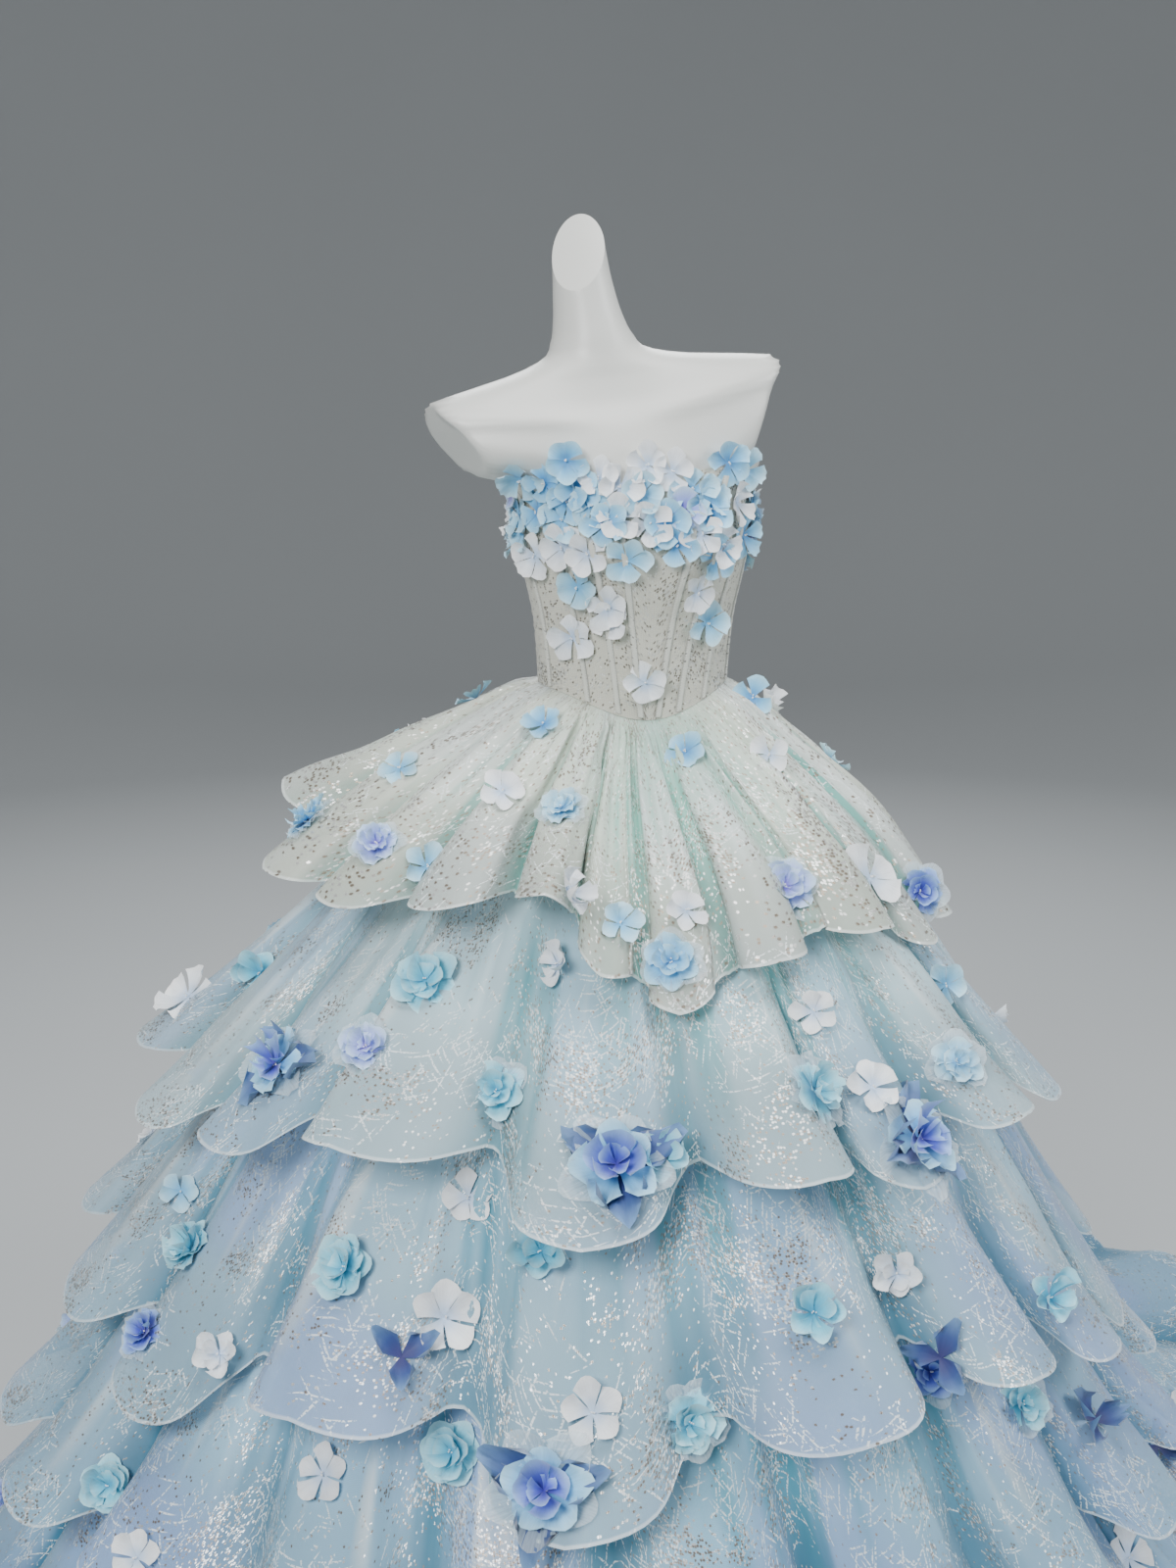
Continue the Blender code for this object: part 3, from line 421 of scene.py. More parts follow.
@dataclass(frozen=True)
class OrganzaFinish:
    """Foiled organza with painted shade in its folds' valleys and painted light on their crests.

    Attributes:
        name: Material name.
        crest: Colour on the crests, under painted light.
        valley: Colour deep in the folds, darkened as painted shade.
        heart: Colour of the folds near the centre front, at the seam, shown most in the valleys' painted shade.
        drift: Colour that the crests drift to in broad patches.
        foil: Colour of the foil lines.
        opacity: How much one layer hides.
        foil_cover: Share of the foil strokes kept in a patch.
        glitter_cover: Share of glitter grains lit in a drift.
        even_glitter: The drifts' share that is lit everywhere.
        grain: Size of a glitter grain.
    """

    name: str
    crest: Colour
    valley: Colour
    heart: Colour
    drift: Colour
    foil: Colour = (0.84, 0.90, 0.91)
    opacity: float = 0.55
    foil_cover: float = 0.60
    glitter_cover: float = 0.62
    even_glitter: float = 0.07
    grain: float = 0.0030

    def build(self, effects: SharedEffects) -> Material:
        """Make the material.

        Args:
            effects: The shared node groups.

        Returns:
            The finished material, which reads the cloth UV map and the fold, fall and hem values.
        """
        made, sketch, shader = start_material(self.name)
        cloth = sketch.add("ShaderNodeUVMap", uv_map="cloth").outputs[0]
        fold_light, fall, hem, middle = (sketch.value(word) for word in ("fold_light", "fall", "hem", "middle"))
        mottle = sketch.group(effects.mottle, {"Vector": cloth, "Size": 0.10, "Depth": 0.16}).outputs["Value"]
        foil = sketch.group(effects.foil, {"Vector": cloth, "Cover": self.foil_cover}).outputs["Mask"]
        grains = sketch.group(effects.glitter, {
            "Vector": cloth, "Grain": self.grain, "Cover": self.glitter_cover, "Even": self.even_glitter,
        })
        glitter = grains.outputs["Mask"]
        broad = sketch.step(sketch.noise(sketch.scaled(cloth, 3.2), 1.0, 0.0), 0.42, 0.62)
        crest = sketch.mix(broad, self.crest, self.drift)
        # Painted shade and light: the valley colour where the fold light value is low, the crest colour where it is
        # high
        base = sketch.mix(sketch.step(fold_light, 0.05, 0.95), self.valley, crest)
        # The heart colour is mixed in more where the fold light value paints shade
        deep = sketch.math("MULTIPLY_ADD", sketch.step(fold_light, 1.05, 0.25), 0.6, 0.4)
        base = sketch.mix(sketch.times(middle, deep), base, self.heart)
        # Painted highlight: a pale colour on the crease ridges, where the fold light value rises above 1
        ridge = sketch.times(sketch.step(fold_light, 1.08, 1.45), 0.55)
        base = sketch.mix(ridge, base, (0.78, 0.86, 0.87))
        base = sketch.shaded(base, mottle)
        edge = sketch.step(hem, 0.0048, 0.0022)
        base = sketch.mix(sketch.times(edge, 0.5), base, (0.78, 0.84, 0.85))
        base = sketch.mix(sketch.times(foil, 0.85), base, self.foil)
        copper = sketch.step(grains.outputs["Tint"], 0.40, 0.60)
        tint = sketch.mix(copper, (0.86, 0.86, 0.84), (0.30, 0.23, 0.17))
        base = sketch.mix(sketch.times(glitter, 0.9), base, tint)
        marks = sketch.math("MAXIMUM", foil, glitter)
        marks = sketch.math("MAXIMUM", marks, sketch.times(edge, 0.8))
        full = sketch.step(fall, 0.86, 0.42)
        thick = sketch.math("MULTIPLY_ADD", full, 1.1 - self.opacity, self.opacity, clamp=True)
        rest = sketch.math("SUBTRACT", 1.0, thick)
        alpha = sketch.math("MULTIPLY_ADD", marks, rest, thick, clamp=True)
        gloss = sketch.math("MULTIPLY_ADD", marks, -0.22, 0.50)
        weave = sketch.group(effects.weave, {"Vector": cloth, "Thread": 0.0016}).outputs["Height"]
        sketch.fill(shader, {
            "Base Color": base, "Roughness": gloss, "Metallic": sketch.times(glitter, 0.65),
            "Alpha": alpha, "Normal": sketch.bump(weave, 0.35, 0.0003),
            "Sheen Weight": 0.25, "Sheen Roughness": 0.45,
        })
        return made


@dataclass(frozen=True)
class TulleFinish:
    """Glitter tulle over satin, for the bodice, or plain satin where the covers are 0."""

    name: str
    base: Colour
    shade: Colour
    net: float = 0.35
    glitter_cover: float = 0.30
    roughness: float = 0.48
    stitch: float = 0.0

    def build(self, effects: SharedEffects) -> Material:
        """Make the material. The net is a hexagon-like mesh of cell borders, 3 mm across."""
        made, sketch, shader = start_material(self.name)
        cloth = sketch.add("ShaderNodeUVMap", uv_map="cloth").outputs[0]
        mottle = sketch.group(effects.mottle, {"Vector": cloth, "Size": 0.05, "Depth": 0.14}).outputs["Value"]
        grains = sketch.group(effects.glitter, {
            "Vector": cloth, "Grain": 0.0028, "Cover": self.glitter_cover, "Drift": 0.05, "Even": 0.26,
        })
        glitter = grains.outputs["Mask"]
        holes = sketch.add(
            "ShaderNodeTexVoronoi", {"Vector": cloth, "Scale": 380.0, "Randomness": 0.25},
            feature="DISTANCE_TO_EDGE", voronoi_dimensions="2D",
        ).outputs["Distance"]
        net = sketch.times(sketch.step(holes, 0.14, 0.04), self.net)
        base = sketch.mix(net, self.base, self.shade)
        base = sketch.shaded(base, mottle)
        brown = sketch.step(grains.outputs["Tint"], 0.3, 0.7)
        tint = sketch.mix(brown, (0.86, 0.86, 0.82), (0.20, 0.17, 0.13))
        base = sketch.mix(sketch.times(glitter, 0.9), base, tint)
        weave = sketch.group(effects.weave, {"Vector": cloth, "Thread": 0.0009}).outputs["Height"]
        relief = sketch.math("MULTIPLY_ADD", net, 0.7, sketch.times(weave, 0.25))
        relief = sketch.math("MULTIPLY_ADD", glitter, 0.5, relief)
        if self.stitch > 0.0:
            # Running stitches near both long edges: dashes 3 mm long
            across, along = sketch.value("across"), sketch.value("along")
            row = sketch.step(sketch.math("ABSOLUTE", sketch.math("SUBTRACT", across, 0.72)), 0.13, 0.05)
            dash = sketch.step(sketch.math("SINE", sketch.times(along, 2100.0)), -0.3, 0.1)
            thread = sketch.times(row, dash)
            # Painted shade: the strip darkens towards its long sides, so that the domed channel looks round
            side = sketch.times(sketch.step(across, 0.45, 1.0), 0.75)
            base = sketch.mix(side, base, tuple(0.45 * part for part in self.shade))
            base = sketch.mix(sketch.times(thread, self.stitch), base, (0.92, 0.92, 0.88))
            relief = sketch.math("SUBTRACT", relief, sketch.times(thread, 0.8))
        sketch.fill(shader, {
            "Base Color": base, "Roughness": sketch.math("MULTIPLY_ADD", glitter, -0.2, self.roughness),
            "Metallic": sketch.times(glitter, 0.7), "Normal": sketch.bump(relief, 0.4, 0.0008),
            "Sheen Weight": 0.2,
        })
        return made


@dataclass(frozen=True)
class SatinFinish:
    """Satin of one colour, with painted shade that darkens it where it falls away under the flounces."""

    name: str
    upper: Colour
    lower: Colour
    roughness: float = 0.42

    def build(self, effects: SharedEffects) -> Material:
        """Make the material, which reads the cloth UV map and the fall value."""
        made, sketch, shader = start_material(self.name)
        cloth = sketch.add("ShaderNodeUVMap", uv_map="cloth").outputs[0]
        fall = sketch.value("fall")
        mottle = sketch.group(effects.mottle, {"Vector": cloth, "Size": 0.2, "Depth": 0.14}).outputs["Value"]
        weave = sketch.group(effects.weave, {"Vector": cloth, "Thread": 0.0011}).outputs["Height"]
        # Painted shade: the colour darkens from upper to lower as the lining falls away under the flounces
        base = sketch.mix(fall, self.upper, self.lower)
        base = sketch.shaded(base, mottle)
        sketch.fill(shader, {
            "Base Color": base, "Roughness": sketch.math("MULTIPLY_ADD", mottle, 0.1, self.roughness - 0.1),
            "Normal": sketch.bump(weave, 0.2, 0.0006), "Sheen Weight": 0.3,
        })
        return made


@dataclass(frozen=True)
class PetalFinish:
    """Dyed silk or sheer organza petals. Colour comes from the petals' own dye attribute."""

    name: str
    opacity: float
    vein: float
    roughness: float = 0.55

    def build(self, effects: SharedEffects) -> Material:
        """Make the material. Veins are noise drawn out from a petal's foot to its tip."""
        made, sketch, shader = start_material(self.name)
        own = sketch.add("ShaderNodeUVMap", uv_map="petal").outputs[0]
        dye = sketch.add("ShaderNodeAttribute", attribute_name="dye").outputs["Color"]
        place = sketch.add("ShaderNodeTexCoord").outputs["Object"]
        stretch = sketch.add("ShaderNodeMapping", {"Vector": own, "Scale": (26.0, 2.2, 1.0)}).outputs[0]
        veins = sketch.noise(stretch, 1.0, 2.0, 0.6)
        spots = {"Vector": place, "Size": 0.012, "Depth": 0.22}
        mottle = sketch.group(effects.mottle, spots).outputs["Value"]
        light = sketch.math("MULTIPLY_ADD", sketch.math("SUBTRACT", veins, 0.5), self.vein, mottle)
        base = sketch.shaded(dye, light)
        weave = sketch.group(effects.weave, {"Vector": place, "Thread": 0.0008}).outputs["Height"]
        relief = sketch.math("MULTIPLY_ADD", veins, 0.7, sketch.times(weave, 0.3))
        sketch.fill(shader, {
            "Base Color": base, "Roughness": sketch.math("MULTIPLY_ADD", veins, 0.15, self.roughness - 0.07),
            "Normal": sketch.bump(relief, 0.3, 0.0008), "Sheen Weight": 0.35,
        })
        if self.opacity < 1.0:
            alpha = sketch.math("MULTIPLY_ADD", veins, 0.35, self.opacity - 0.17, clamp=True)
            sketch.fill(shader, {"Alpha": alpha})
        return made


@dataclass(frozen=True)
class HardFinish:
    """A hard surface with fine grain: the form's shell, steel and small metal parts."""

    name: str
    base: Colour
    worn: Colour
    roughness: float
    metallic: float = 0.0
    coat: float = 0.0
    grain: float = 500.0
    brushed: bool = False
    relief: float = 0.0003

    def build(self, effects: SharedEffects) -> Material:
        """Make the material: slow mottling in the colour, and grain in the gloss and relief."""
        made, sketch, shader = start_material(self.name)
        place = sketch.add("ShaderNodeTexCoord").outputs["Object"]
        scale = (1.0, 1.0, 0.03) if self.brushed else (1.0, 1.0, 1.0)
        drawn = sketch.add("ShaderNodeMapping", {"Vector": place, "Scale": scale}).outputs[0]
        grain = sketch.noise(drawn, self.grain, 3.0, 0.6)
        mottle = sketch.group(effects.mottle, {"Vector": place, "Size": 0.16, "Depth": 1.0}).outputs["Value"]
        base = sketch.mix(sketch.step(mottle, 0.85, 1.25), self.base, self.worn)
        sketch.fill(shader, {
            "Base Color": base, "Roughness": sketch.math("MULTIPLY_ADD", grain, 0.12, self.roughness - 0.06),
            "Normal": sketch.bump(grain, 0.25, self.relief), "Metallic": self.metallic,
            "Coat Weight": self.coat, "Coat Roughness": 0.25,
        })
        return made


@dataclass(frozen=True)
class BeadFinish:
    """Tiny pearls."""

    name: str
    base: Colour

    def build(self, effects: SharedEffects) -> Material:
        """Make the material, with a faint drift of its colour from bead to bead."""
        made, sketch, shader = start_material(self.name)
        place = sketch.add("ShaderNodeTexCoord").outputs["Object"]
        mottle = sketch.group(effects.mottle, {"Vector": place, "Size": 0.01, "Depth": 0.3}).outputs["Value"]
        base = sketch.shaded(self.base, mottle)
        gloss = sketch.times(mottle, 0.25)
        sketch.fill(shader, {"Base Color": base, "Roughness": gloss, "Coat Weight": 0.6})
        return made


@dataclass(frozen=True)
class Section:
    """A level section of the form."""

    height: float
    half_width: float
    front: float
    back: float
    shift: float


@dataclass(frozen=True)
class ShoulderCut:
    """A shoulder's flat end: its x at a height, and how x changes with height and depth."""

    x: float
    height: float
    by_height: float
    by_depth: float
    lowest: float


@dataclass(frozen=True)
class BodyShape:
    """The form's surface and, just outside it, the bodice's."""

    sections: tuple[Section, ...] = (
        Section(0.780, 0.062, 0.052, 0.052, 0.000),
        Section(0.800, 0.106, 0.082, 0.084, 0.000),
        Section(0.850, 0.138, 0.099, 0.106, 0.000),
        Section(0.930, 0.143, 0.102, 0.110, 0.000),
        Section(1.000, 0.1160, 0.0875, 0.0890, 0.000),
        Section(1.038, 0.1060, 0.0825, 0.0790, 0.000),
        Section(1.065, 0.1047, 0.0820, 0.0780, 0.000),
        Section(1.110, 0.1062, 0.086, 0.078, 0.000),
        Section(1.157, 0.1108, 0.092, 0.081, 0.000),
        Section(1.200, 0.1200, 0.101, 0.086, 0.000),
        Section(1.250, 0.1290, 0.108, 0.092, 0.000),
        Section(1.290, 0.1320, 0.106, 0.095, -0.002),
        Section(1.318, 0.1560, 0.100, 0.096, -0.010),
        Section(1.332, 0.1790, 0.096, 0.095, -0.016),
        Section(1.345, 0.2000, 0.091, 0.093, -0.022),
        Section(1.372, 0.2250, 0.079, 0.085, -0.030),
        Section(1.395, 0.2220, 0.067, 0.074, -0.034),
        Section(1.409, 0.1950, 0.058, 0.065, -0.035),
        Section(1.419, 0.1480, 0.053, 0.060, -0.037),
        Section(1.429, 0.0980, 0.051, 0.058, -0.040),
        Section(1.442, 0.0590, 0.048, 0.054, -0.043),
        Section(1.460, 0.0445, 0.045, 0.050, -0.047),
        Section(1.480, 0.0380, 0.041, 0.045, -0.051),
        Section(1.510, 0.0330, 0.036, 0.040, -0.056),
        Section(1.570, 0.0275, 0.031, 0.034, -0.063),
        Section(1.640, 0.0250, 0.028, 0.031, -0.070),
    )
    left_cut: ShoulderCut = ShoulderCut(0.164, 1.419, 0.46, 0.0, 1.320)
    right_cut: ShoulderCut = ShoulderCut(-0.226, 1.408, -0.50, -0.20, 1.302)
    cut_rounding: float = 0.004
    stump_reach: float = 0.058
    ease: float = 0.0031
    waist_side: float = 1.078
    waist_dip: float = 0.033
    neckline_side: float = 1.298
    neckline_peak: float = 0.020
    neckline_notch: float = 0.006
    cup_bearing: float = 27.0
    cup_width: float = 19.0
    bust_height: float = 1.232
    bust_rise: float = 0.013

    def size(self, height: Array, word: str) -> Array:
        """One of the form's sizes at a height."""
        heights = [row.height for row in self.sections]
        return smooth_table(height, heights, [getattr(row, word) for row in self.sections])

    def end(self, cut: ShoulderCut, height: Array, depth: Array) -> Array:
        """Where a shoulder's flat end lies at a height and depth."""
        return cut.x + cut.by_height * (height - cut.height) + cut.by_depth * depth

    def point(self, bearing: Array, height: Array, out: float = 0.0) -> Array:
        """A point of the form's surface.

        Args:
            bearing: Degrees round the form.
            height: Height before the shoulders' tilt is added.
            out: How far outside the form, measured level.

        Returns:
            Ellipse halves with the front's or back's depth, two soft cups, and flat rounded
            shoulder ends, where x is the larger or smaller of two numbers with a soft change.
        """
        angle = np.radians(bearing)
        front = np.cos(angle) > 0.0
        depth = np.where(front, self.size(height, "front"), self.size(height, "back"))
        cups = bell(np.abs(wrap(bearing)), self.cup_bearing, self.cup_width)
        depth = depth + self.bust_rise * cups * bell(height, self.bust_height, 0.050) + out
        over = height - self.neckline(bearing)
        stump = smooth_step(over, 0.0, 0.022) - smooth_step(height, 1.365, 1.410)
        x = (self.size(height, "half_width") + out) * np.sin(angle) + self.size(height, "shift")
        x = x - self.stump_reach * stump * bell(wrap(bearing), -90.0, 42.0)
        y = -depth * np.cos(angle)
        for cut, sign in ((self.left_cut, -1.0), (self.right_cut, 1.0)):
            gap = sign * (x - self.end(cut, height, y))
            soft = 0.5 * (gap + np.sqrt(gap * gap + self.cut_rounding**2))
            tall = smooth_step(height, cut.lowest - 0.002, cut.lowest + 0.006)
            x = x + tall * sign * (soft - gap) * (gap < 0.03)
        tilt = 0.1425 + 0.0325 * np.tanh(x / 0.02)
        lift = tilt * x * smooth_step(height, 1.29, 1.40)
        return np.stack(np.broadcast_arrays(x, y, height + lift), axis=-1)

    def waist(self, bearing: Array) -> Array:
        """Height of the waist seam, which dips to a point at the centre front."""
        return self.waist_side - self.waist_dip * bell(wrap(bearing), 0.0, 42.0)

    def neckline(self, bearing: Array) -> Array:
        """Height of the bodice's upper edge: a soft peak over each cup."""
        turn = np.abs(wrap(bearing))
        peaks = self.neckline_peak * bell(turn, self.cup_bearing + 4.0, 26.0)
        return self.neckline_side + peaks - self.neckline_notch * bell(turn, 0.0, 12.0)

    def bodice(self, bearing: Array, up: Array, out: float = 0.0) -> Array:
        """A point of the bodice's outer face, a share of the way up from waist to neckline."""
        low = self.waist(bearing)
        return self.point(bearing, low + (self.neckline(bearing) - low) * up, self.ease + out)


@dataclass(frozen=True)
class SkirtShape:
    """The underskirt's surface, which every flounce starts from."""

    body: BodyShape
    heights: tuple[float, ...] = (0.003, 0.170, 0.335, 0.535, 0.735, 0.830, 0.925, 1.020, 1.070)
    radii: tuple[float, ...] = (0.630, 0.583, 0.532, 0.460, 0.367, 0.312, 0.251, 0.155, 0.1080)
    top: float = 1.070
    top_front: float = 0.0855
    top_back: float = 0.0812
    round_below: float = 0.86
    shift: float = -0.060

    def radius(self, height: Array) -> Array:
        """Radius at a height."""
        return smooth_table(height, self.heights, self.radii)

    def point(self, bearing: Array, height: Array, out: Array = 0.0) -> Array:
        """A point of the underskirt, moved out level: an oval at the waist that turns round lower down."""
        angle = np.radians(bearing)
        oval = smooth_step(height, self.round_below, self.top)
        depth = np.where(np.cos(angle) > 0.0, self.top_front, self.top_back)
        share = 1.0 + oval * (depth / self.radii[-1] - 1.0)
        radius = self.radius(height)
        dip = (self.body.waist(bearing) - self.body.waist_side) * oval
        x = self.shift * (1.0 - height / self.top) + (radius + out) * np.sin(angle)
        y = -(radius * share + out) * np.cos(angle)
        return np.stack(np.broadcast_arrays(x, y, height + dip), axis=-1)


@dataclass
class DressForm:
    """The armless display form: torso, pole and round base."""

    body: BodyShape
    columns: int = 144
    row_step: float = 0.006
    low: float = 0.780
    high: float = 1.640
    neck_point: tuple[float, float, float] = (-0.063, 0.0, 1.546)
    neck_facing: tuple[float, float, float] = (-0.44, -0.67, 0.59)
    rim_rounding: float = 0.0022
    collar_rise: float = 0.0060

    def build(self, shell: Material, steel: Material) -> BVHTree:
        """Make the torso, dress the pole and base, and return the torso's search tree."""
        surface = self.build_torso()
        mesh = bpy.data.meshes.new("torso")
        surface.to_mesh(mesh)
        surface.free()
        mesh.shade_smooth()
        mesh.materials.append(shell)
        torso = piece("torso", mesh, ["form_torso"])
        for node, finish in (("form_pole", steel), ("form_base", shell)):
            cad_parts[node].data.materials.clear()
            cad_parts[node].data.materials.append(finish)
        points = [vertex.co.copy() for vertex in torso.data.vertices]
        return BVHTree.FromPolygons(points, [tuple(face.vertices) for face in torso.data.polygons])

    def collarbones(self, bearing: Array, height: Array) -> Array:
        """Two soft ridges that rise from the hollow of the throat towards the shoulders."""
        turn = wrap(bearing)
        across = np.abs(turn) / 70.0
        line = 1.372 + 0.030 * across
        ridge = bell(height, line, 0.010) * smooth_step(across, 0.06, 0.25) * smooth_step(across, 1.25, 0.8)
        hollow = bell(height, 1.392, 0.016) * bell(turn, 0.0, 15.0)
        return self.collar_rise * (ridge - 0.8 * hollow)

    def build_torso(self) -> bmesh.types.BMesh:
        """Loft level sections, close the ends, and cut the neck with a slanted plane and a rounded rim."""
        heights = np.arange(self.low, self.high + 0.001, self.row_step)[::-1][:, None]
        bearings = (np.arange(self.columns) * 360.0 / self.columns - 180.0)[None, :]
        points = self.body.point(bearings, heights)
        out = level_out(bearings, 3)
        points = points + out * self.collarbones(bearings, heights)[..., None]
        grid = Grid(points, ring=True)
        shape = bmesh.new()
        shape.from_mesh(grid.mesh("torso_loft"))
        rims = [edge for edge in shape.edges if edge.is_boundary]
        bmesh.ops.edgeloop_fill(shape, edges=rims)
        made = bmesh.ops.bisect_plane(
            shape, geom=shape.verts[:] + shape.edges[:] + shape.faces[:], dist=1e-6,
            plane_co=self.neck_point, plane_no=self.neck_facing, clear_outer=True,
        )
        rim = [item for item in made["geom_cut"] if isinstance(item, bmesh.types.BMEdge)]
        bmesh.ops.edgeloop_fill(shape, edges=rim)
        bmesh.ops.bevel(
            shape, geom=rim, offset=self.rim_rounding, segments=3, profile=0.5,
            affect="EDGES", clamp_overlap=True,
        )
        bmesh.ops.recalc_face_normals(shape, faces=shape.faces[:])
        return shape


@dataclass(frozen=True)
class PanelLine:
    """A seam or channel of the bodice: its bearing at the waist and at the neckline."""

    name: str
    waist: float
    top: float

    def bearing(self, up: Array, side: float = 1.0) -> Array:
        """Its bearing a share of the way up, on the +X (1) or -X (-1) side."""
        return side * (self.waist + (self.top - self.waist) * up)


@dataclass
class Bodice:
    """Seven panels, ten boned channels, and the back zip with its teeth and slider."""

    body: BodyShape
    rows: int = 44
    column_step: float = 1.6
    wall: float = 0.0011
    seam_dip: float = 0.0006
    crease: float = 0.0005
    channel_width: float = 0.0080
    channel_rise: float = 0.0030
    seams: tuple[PanelLine, ...] = (
        PanelLine("front", 5.0, 21.0), PanelLine("side_front", 37.0, 58.0),
        PanelLine("side_back", 102.0, 102.0),
    )
    channels: tuple[PanelLine, ...] = (
        PanelLine("inner", 5.0, 21.0), PanelLine("middle", 18.0, 38.0), PanelLine("outer", 37.0, 58.0),
        PanelLine("side", 68.0, 78.0), PanelLine("back", 135.0, 135.0),
    )
    grids: dict[str, Grid] = field(default_factory=dict)
    made: dict[str, bpy.types.Object] = field(default_factory=dict)
    trims: dict[str, list[bpy.types.Object]] = field(default_factory=dict)

    def panel_grid(self, low: tuple[PanelLine, float], high: tuple[PanelLine, float]) -> Grid:
        """A panel between two seams, each a line and its side, 1 for +X and -1 for -X.

        The surface follows the body, dips 0.6 mm along both seams, and pulls in fine level
        creases under the bust that differ from row to row.
        """
        ups = np.linspace(1.0, 0.0, self.rows)[:, None]
        start, end = (line.bearing(ups, side) for line, side in (low, high))
        half_gap = math.degrees(SEAM_GAP / BODICE_RADIUS)
        count = max(6, math.ceil(float((end - start).max()) / self.column_step)) + 1
        across = np.linspace(0.0, 1.0, count)[None, :]
        bearings = start + half_gap + (end - start - 2.0 * half_gap) * across
        points = self.body.bodice(bearings, ups)
        edge = np.minimum(across, 1.0 - across) * np.radians(end - start) * BODICE_RADIUS
        dip = -self.seam_dip * np.exp(-((edge / 0.0022) ** 2))
        ripple = self.crease * np.sin(95.0 * ups + 0.07 * bearings) * bell(ups, 0.28, 0.16)
        ripple = ripple * bell(np.sin(np.radians(bearings * 2.1)), 0.4, 0.7)
        out = level_out(bearings, 3)
        points = points + out * (dip + ripple)[..., None]
        down = lengths(points, 0)
        along = lengths(points, 1)
        return Grid(points, np.stack([along - along[:, -1:] / 2.0 + 0.31 * start[:1], down], axis=-1))

    def build(self, tulle: Material, satin: Material, tape: Material,
              steel: Material) -> None:
        """Make every piece of the bodice.

        Args:
            tulle: For the panels.
            satin: For the channels.
            tape: For the zip's tape.
            steel: For the zip's teeth and slider.
        """
        lines = (*self.seams, PanelLine("middle_back", 180.0, 180.0))
        spans = [("front_centre", (lines[0], -1.0), (lines[0], 1.0))]
        for word, inner, outer in zip(("side_front", "side", "back"), lines, lines[1:]):
            spans.append((word + "_left", (inner, 1.0), (outer, 1.0)))
            spans.append((word + "_right", (outer, -1.0), (inner, -1.0)))
        for word, low, high in spans:
            node = "bodice_" + word
            grid = self.panel_grid(low, high)
            mesh = grid.mesh("panel_" + word)
            mesh.materials.append(tulle)
            self.grids[node] = grid
            self.made[node] = piece("panel_" + word, mesh, [node])
            give_wall(self.made[node], self.wall)
            self.trims[node] = []
        hosts = {
            "inner": "side_front", "middle": "side_front", "outer": "side", "side": "side", "back": "back",
        }
        for line in self.channels:
            for side, word in ((1.0, "left"), (-1.0, "right")):
                made = self.build_channel(line, side, word, satin)
                self.trims[f"bodice_{hosts[line.name]}_{word}"].append(made)
        for made in self.build_zip(tape, steel):
            self.trims["bodice_back_left"].append(made)

    def strip(self, bearing, width: float, ends: tuple[float, float], rise: float, base: float,
              across_count: int) -> Grid:
        """A strip along the bodice: its height over the panel is the rise times a flat-topped arch."""
        ups = np.linspace(ends[1], ends[0], 60)[:, None]
        across = np.linspace(-1.0, 1.0, across_count)[None, :]
        bearings = bearing(ups) + np.degrees(across * width / 2.0 / CHANNEL_RADIUS)
        arch = (1.0 - across**4) ** 0.5
        points = self.body.bodice(bearings, ups)
        out = level_out(bearings, 3)
        swell = 1.0 + 0.10 * np.sin(160.0 * ups + 3.0 * across) * np.sin(37.0 * ups)
        points = points + out * (base + rise * arch * swell)[..., None]
        down = lengths(points, 0)
        uv = np.stack([across * width / 2.0 + 0.0 * down, down], axis=-1)
        return Grid(points, uv, {"across": np.abs(across) + 0.0 * down, "along": down})

    def build_channel(self, line: PanelLine, side: float, word: str,
                      satin: Material) -> bpy.types.Object:
        """One boned channel, domed over its bone and pulled down along its stitching."""
        grid = self.strip(
            lambda up: line.bearing(up, side), self.channel_width, (0.012, 0.968), self.channel_rise, -0.0004, 11,
        )
        mesh = grid.mesh(f"boning_{line.name}_{word}")
        mesh.materials.append(satin)
        made = piece(mesh.name, mesh, [f"channel_{line.name}_{word}"])
        give_wall(made, 0.0004)
        return made

    def build_zip(self, tape: Material, steel: Material) -> list[bpy.types.Object]:
        """The closed back zip: its tape, a row of teeth, and the slider with its pull."""
        grid = self.strip(lambda up: 180.0 + 0.0 * up, 0.0080, (0.030, 0.955), 0.0012, 0.0004, 9)
        mesh = grid.mesh("zip_tape")
        mesh.materials.append(tape)
        made = [piece("zip_tape", mesh, ["back_zip"])]
        give_wall(made[0], 0.0004)
        ups = np.linspace(0.04, 0.89, 105)
        turns = 180.0 + np.where(np.arange(105) % 2 == 0, 0.32, -0.32)
        centres = self.body.bodice(turns, ups) + np.array((0.0, 0.0020, 0.0))
        teeth = boxes_mesh("zip_teeth", centres, (0.0016, 0.0010, 0.0011))
        teeth.materials.append(steel)
        made.append(piece("zip_teeth", teeth))
        slider = self.slider_mesh()
        slider.materials.append(steel)
        made.append(piece("zip_slider_and_pull", slider, ["zip_slider"]))
        return made

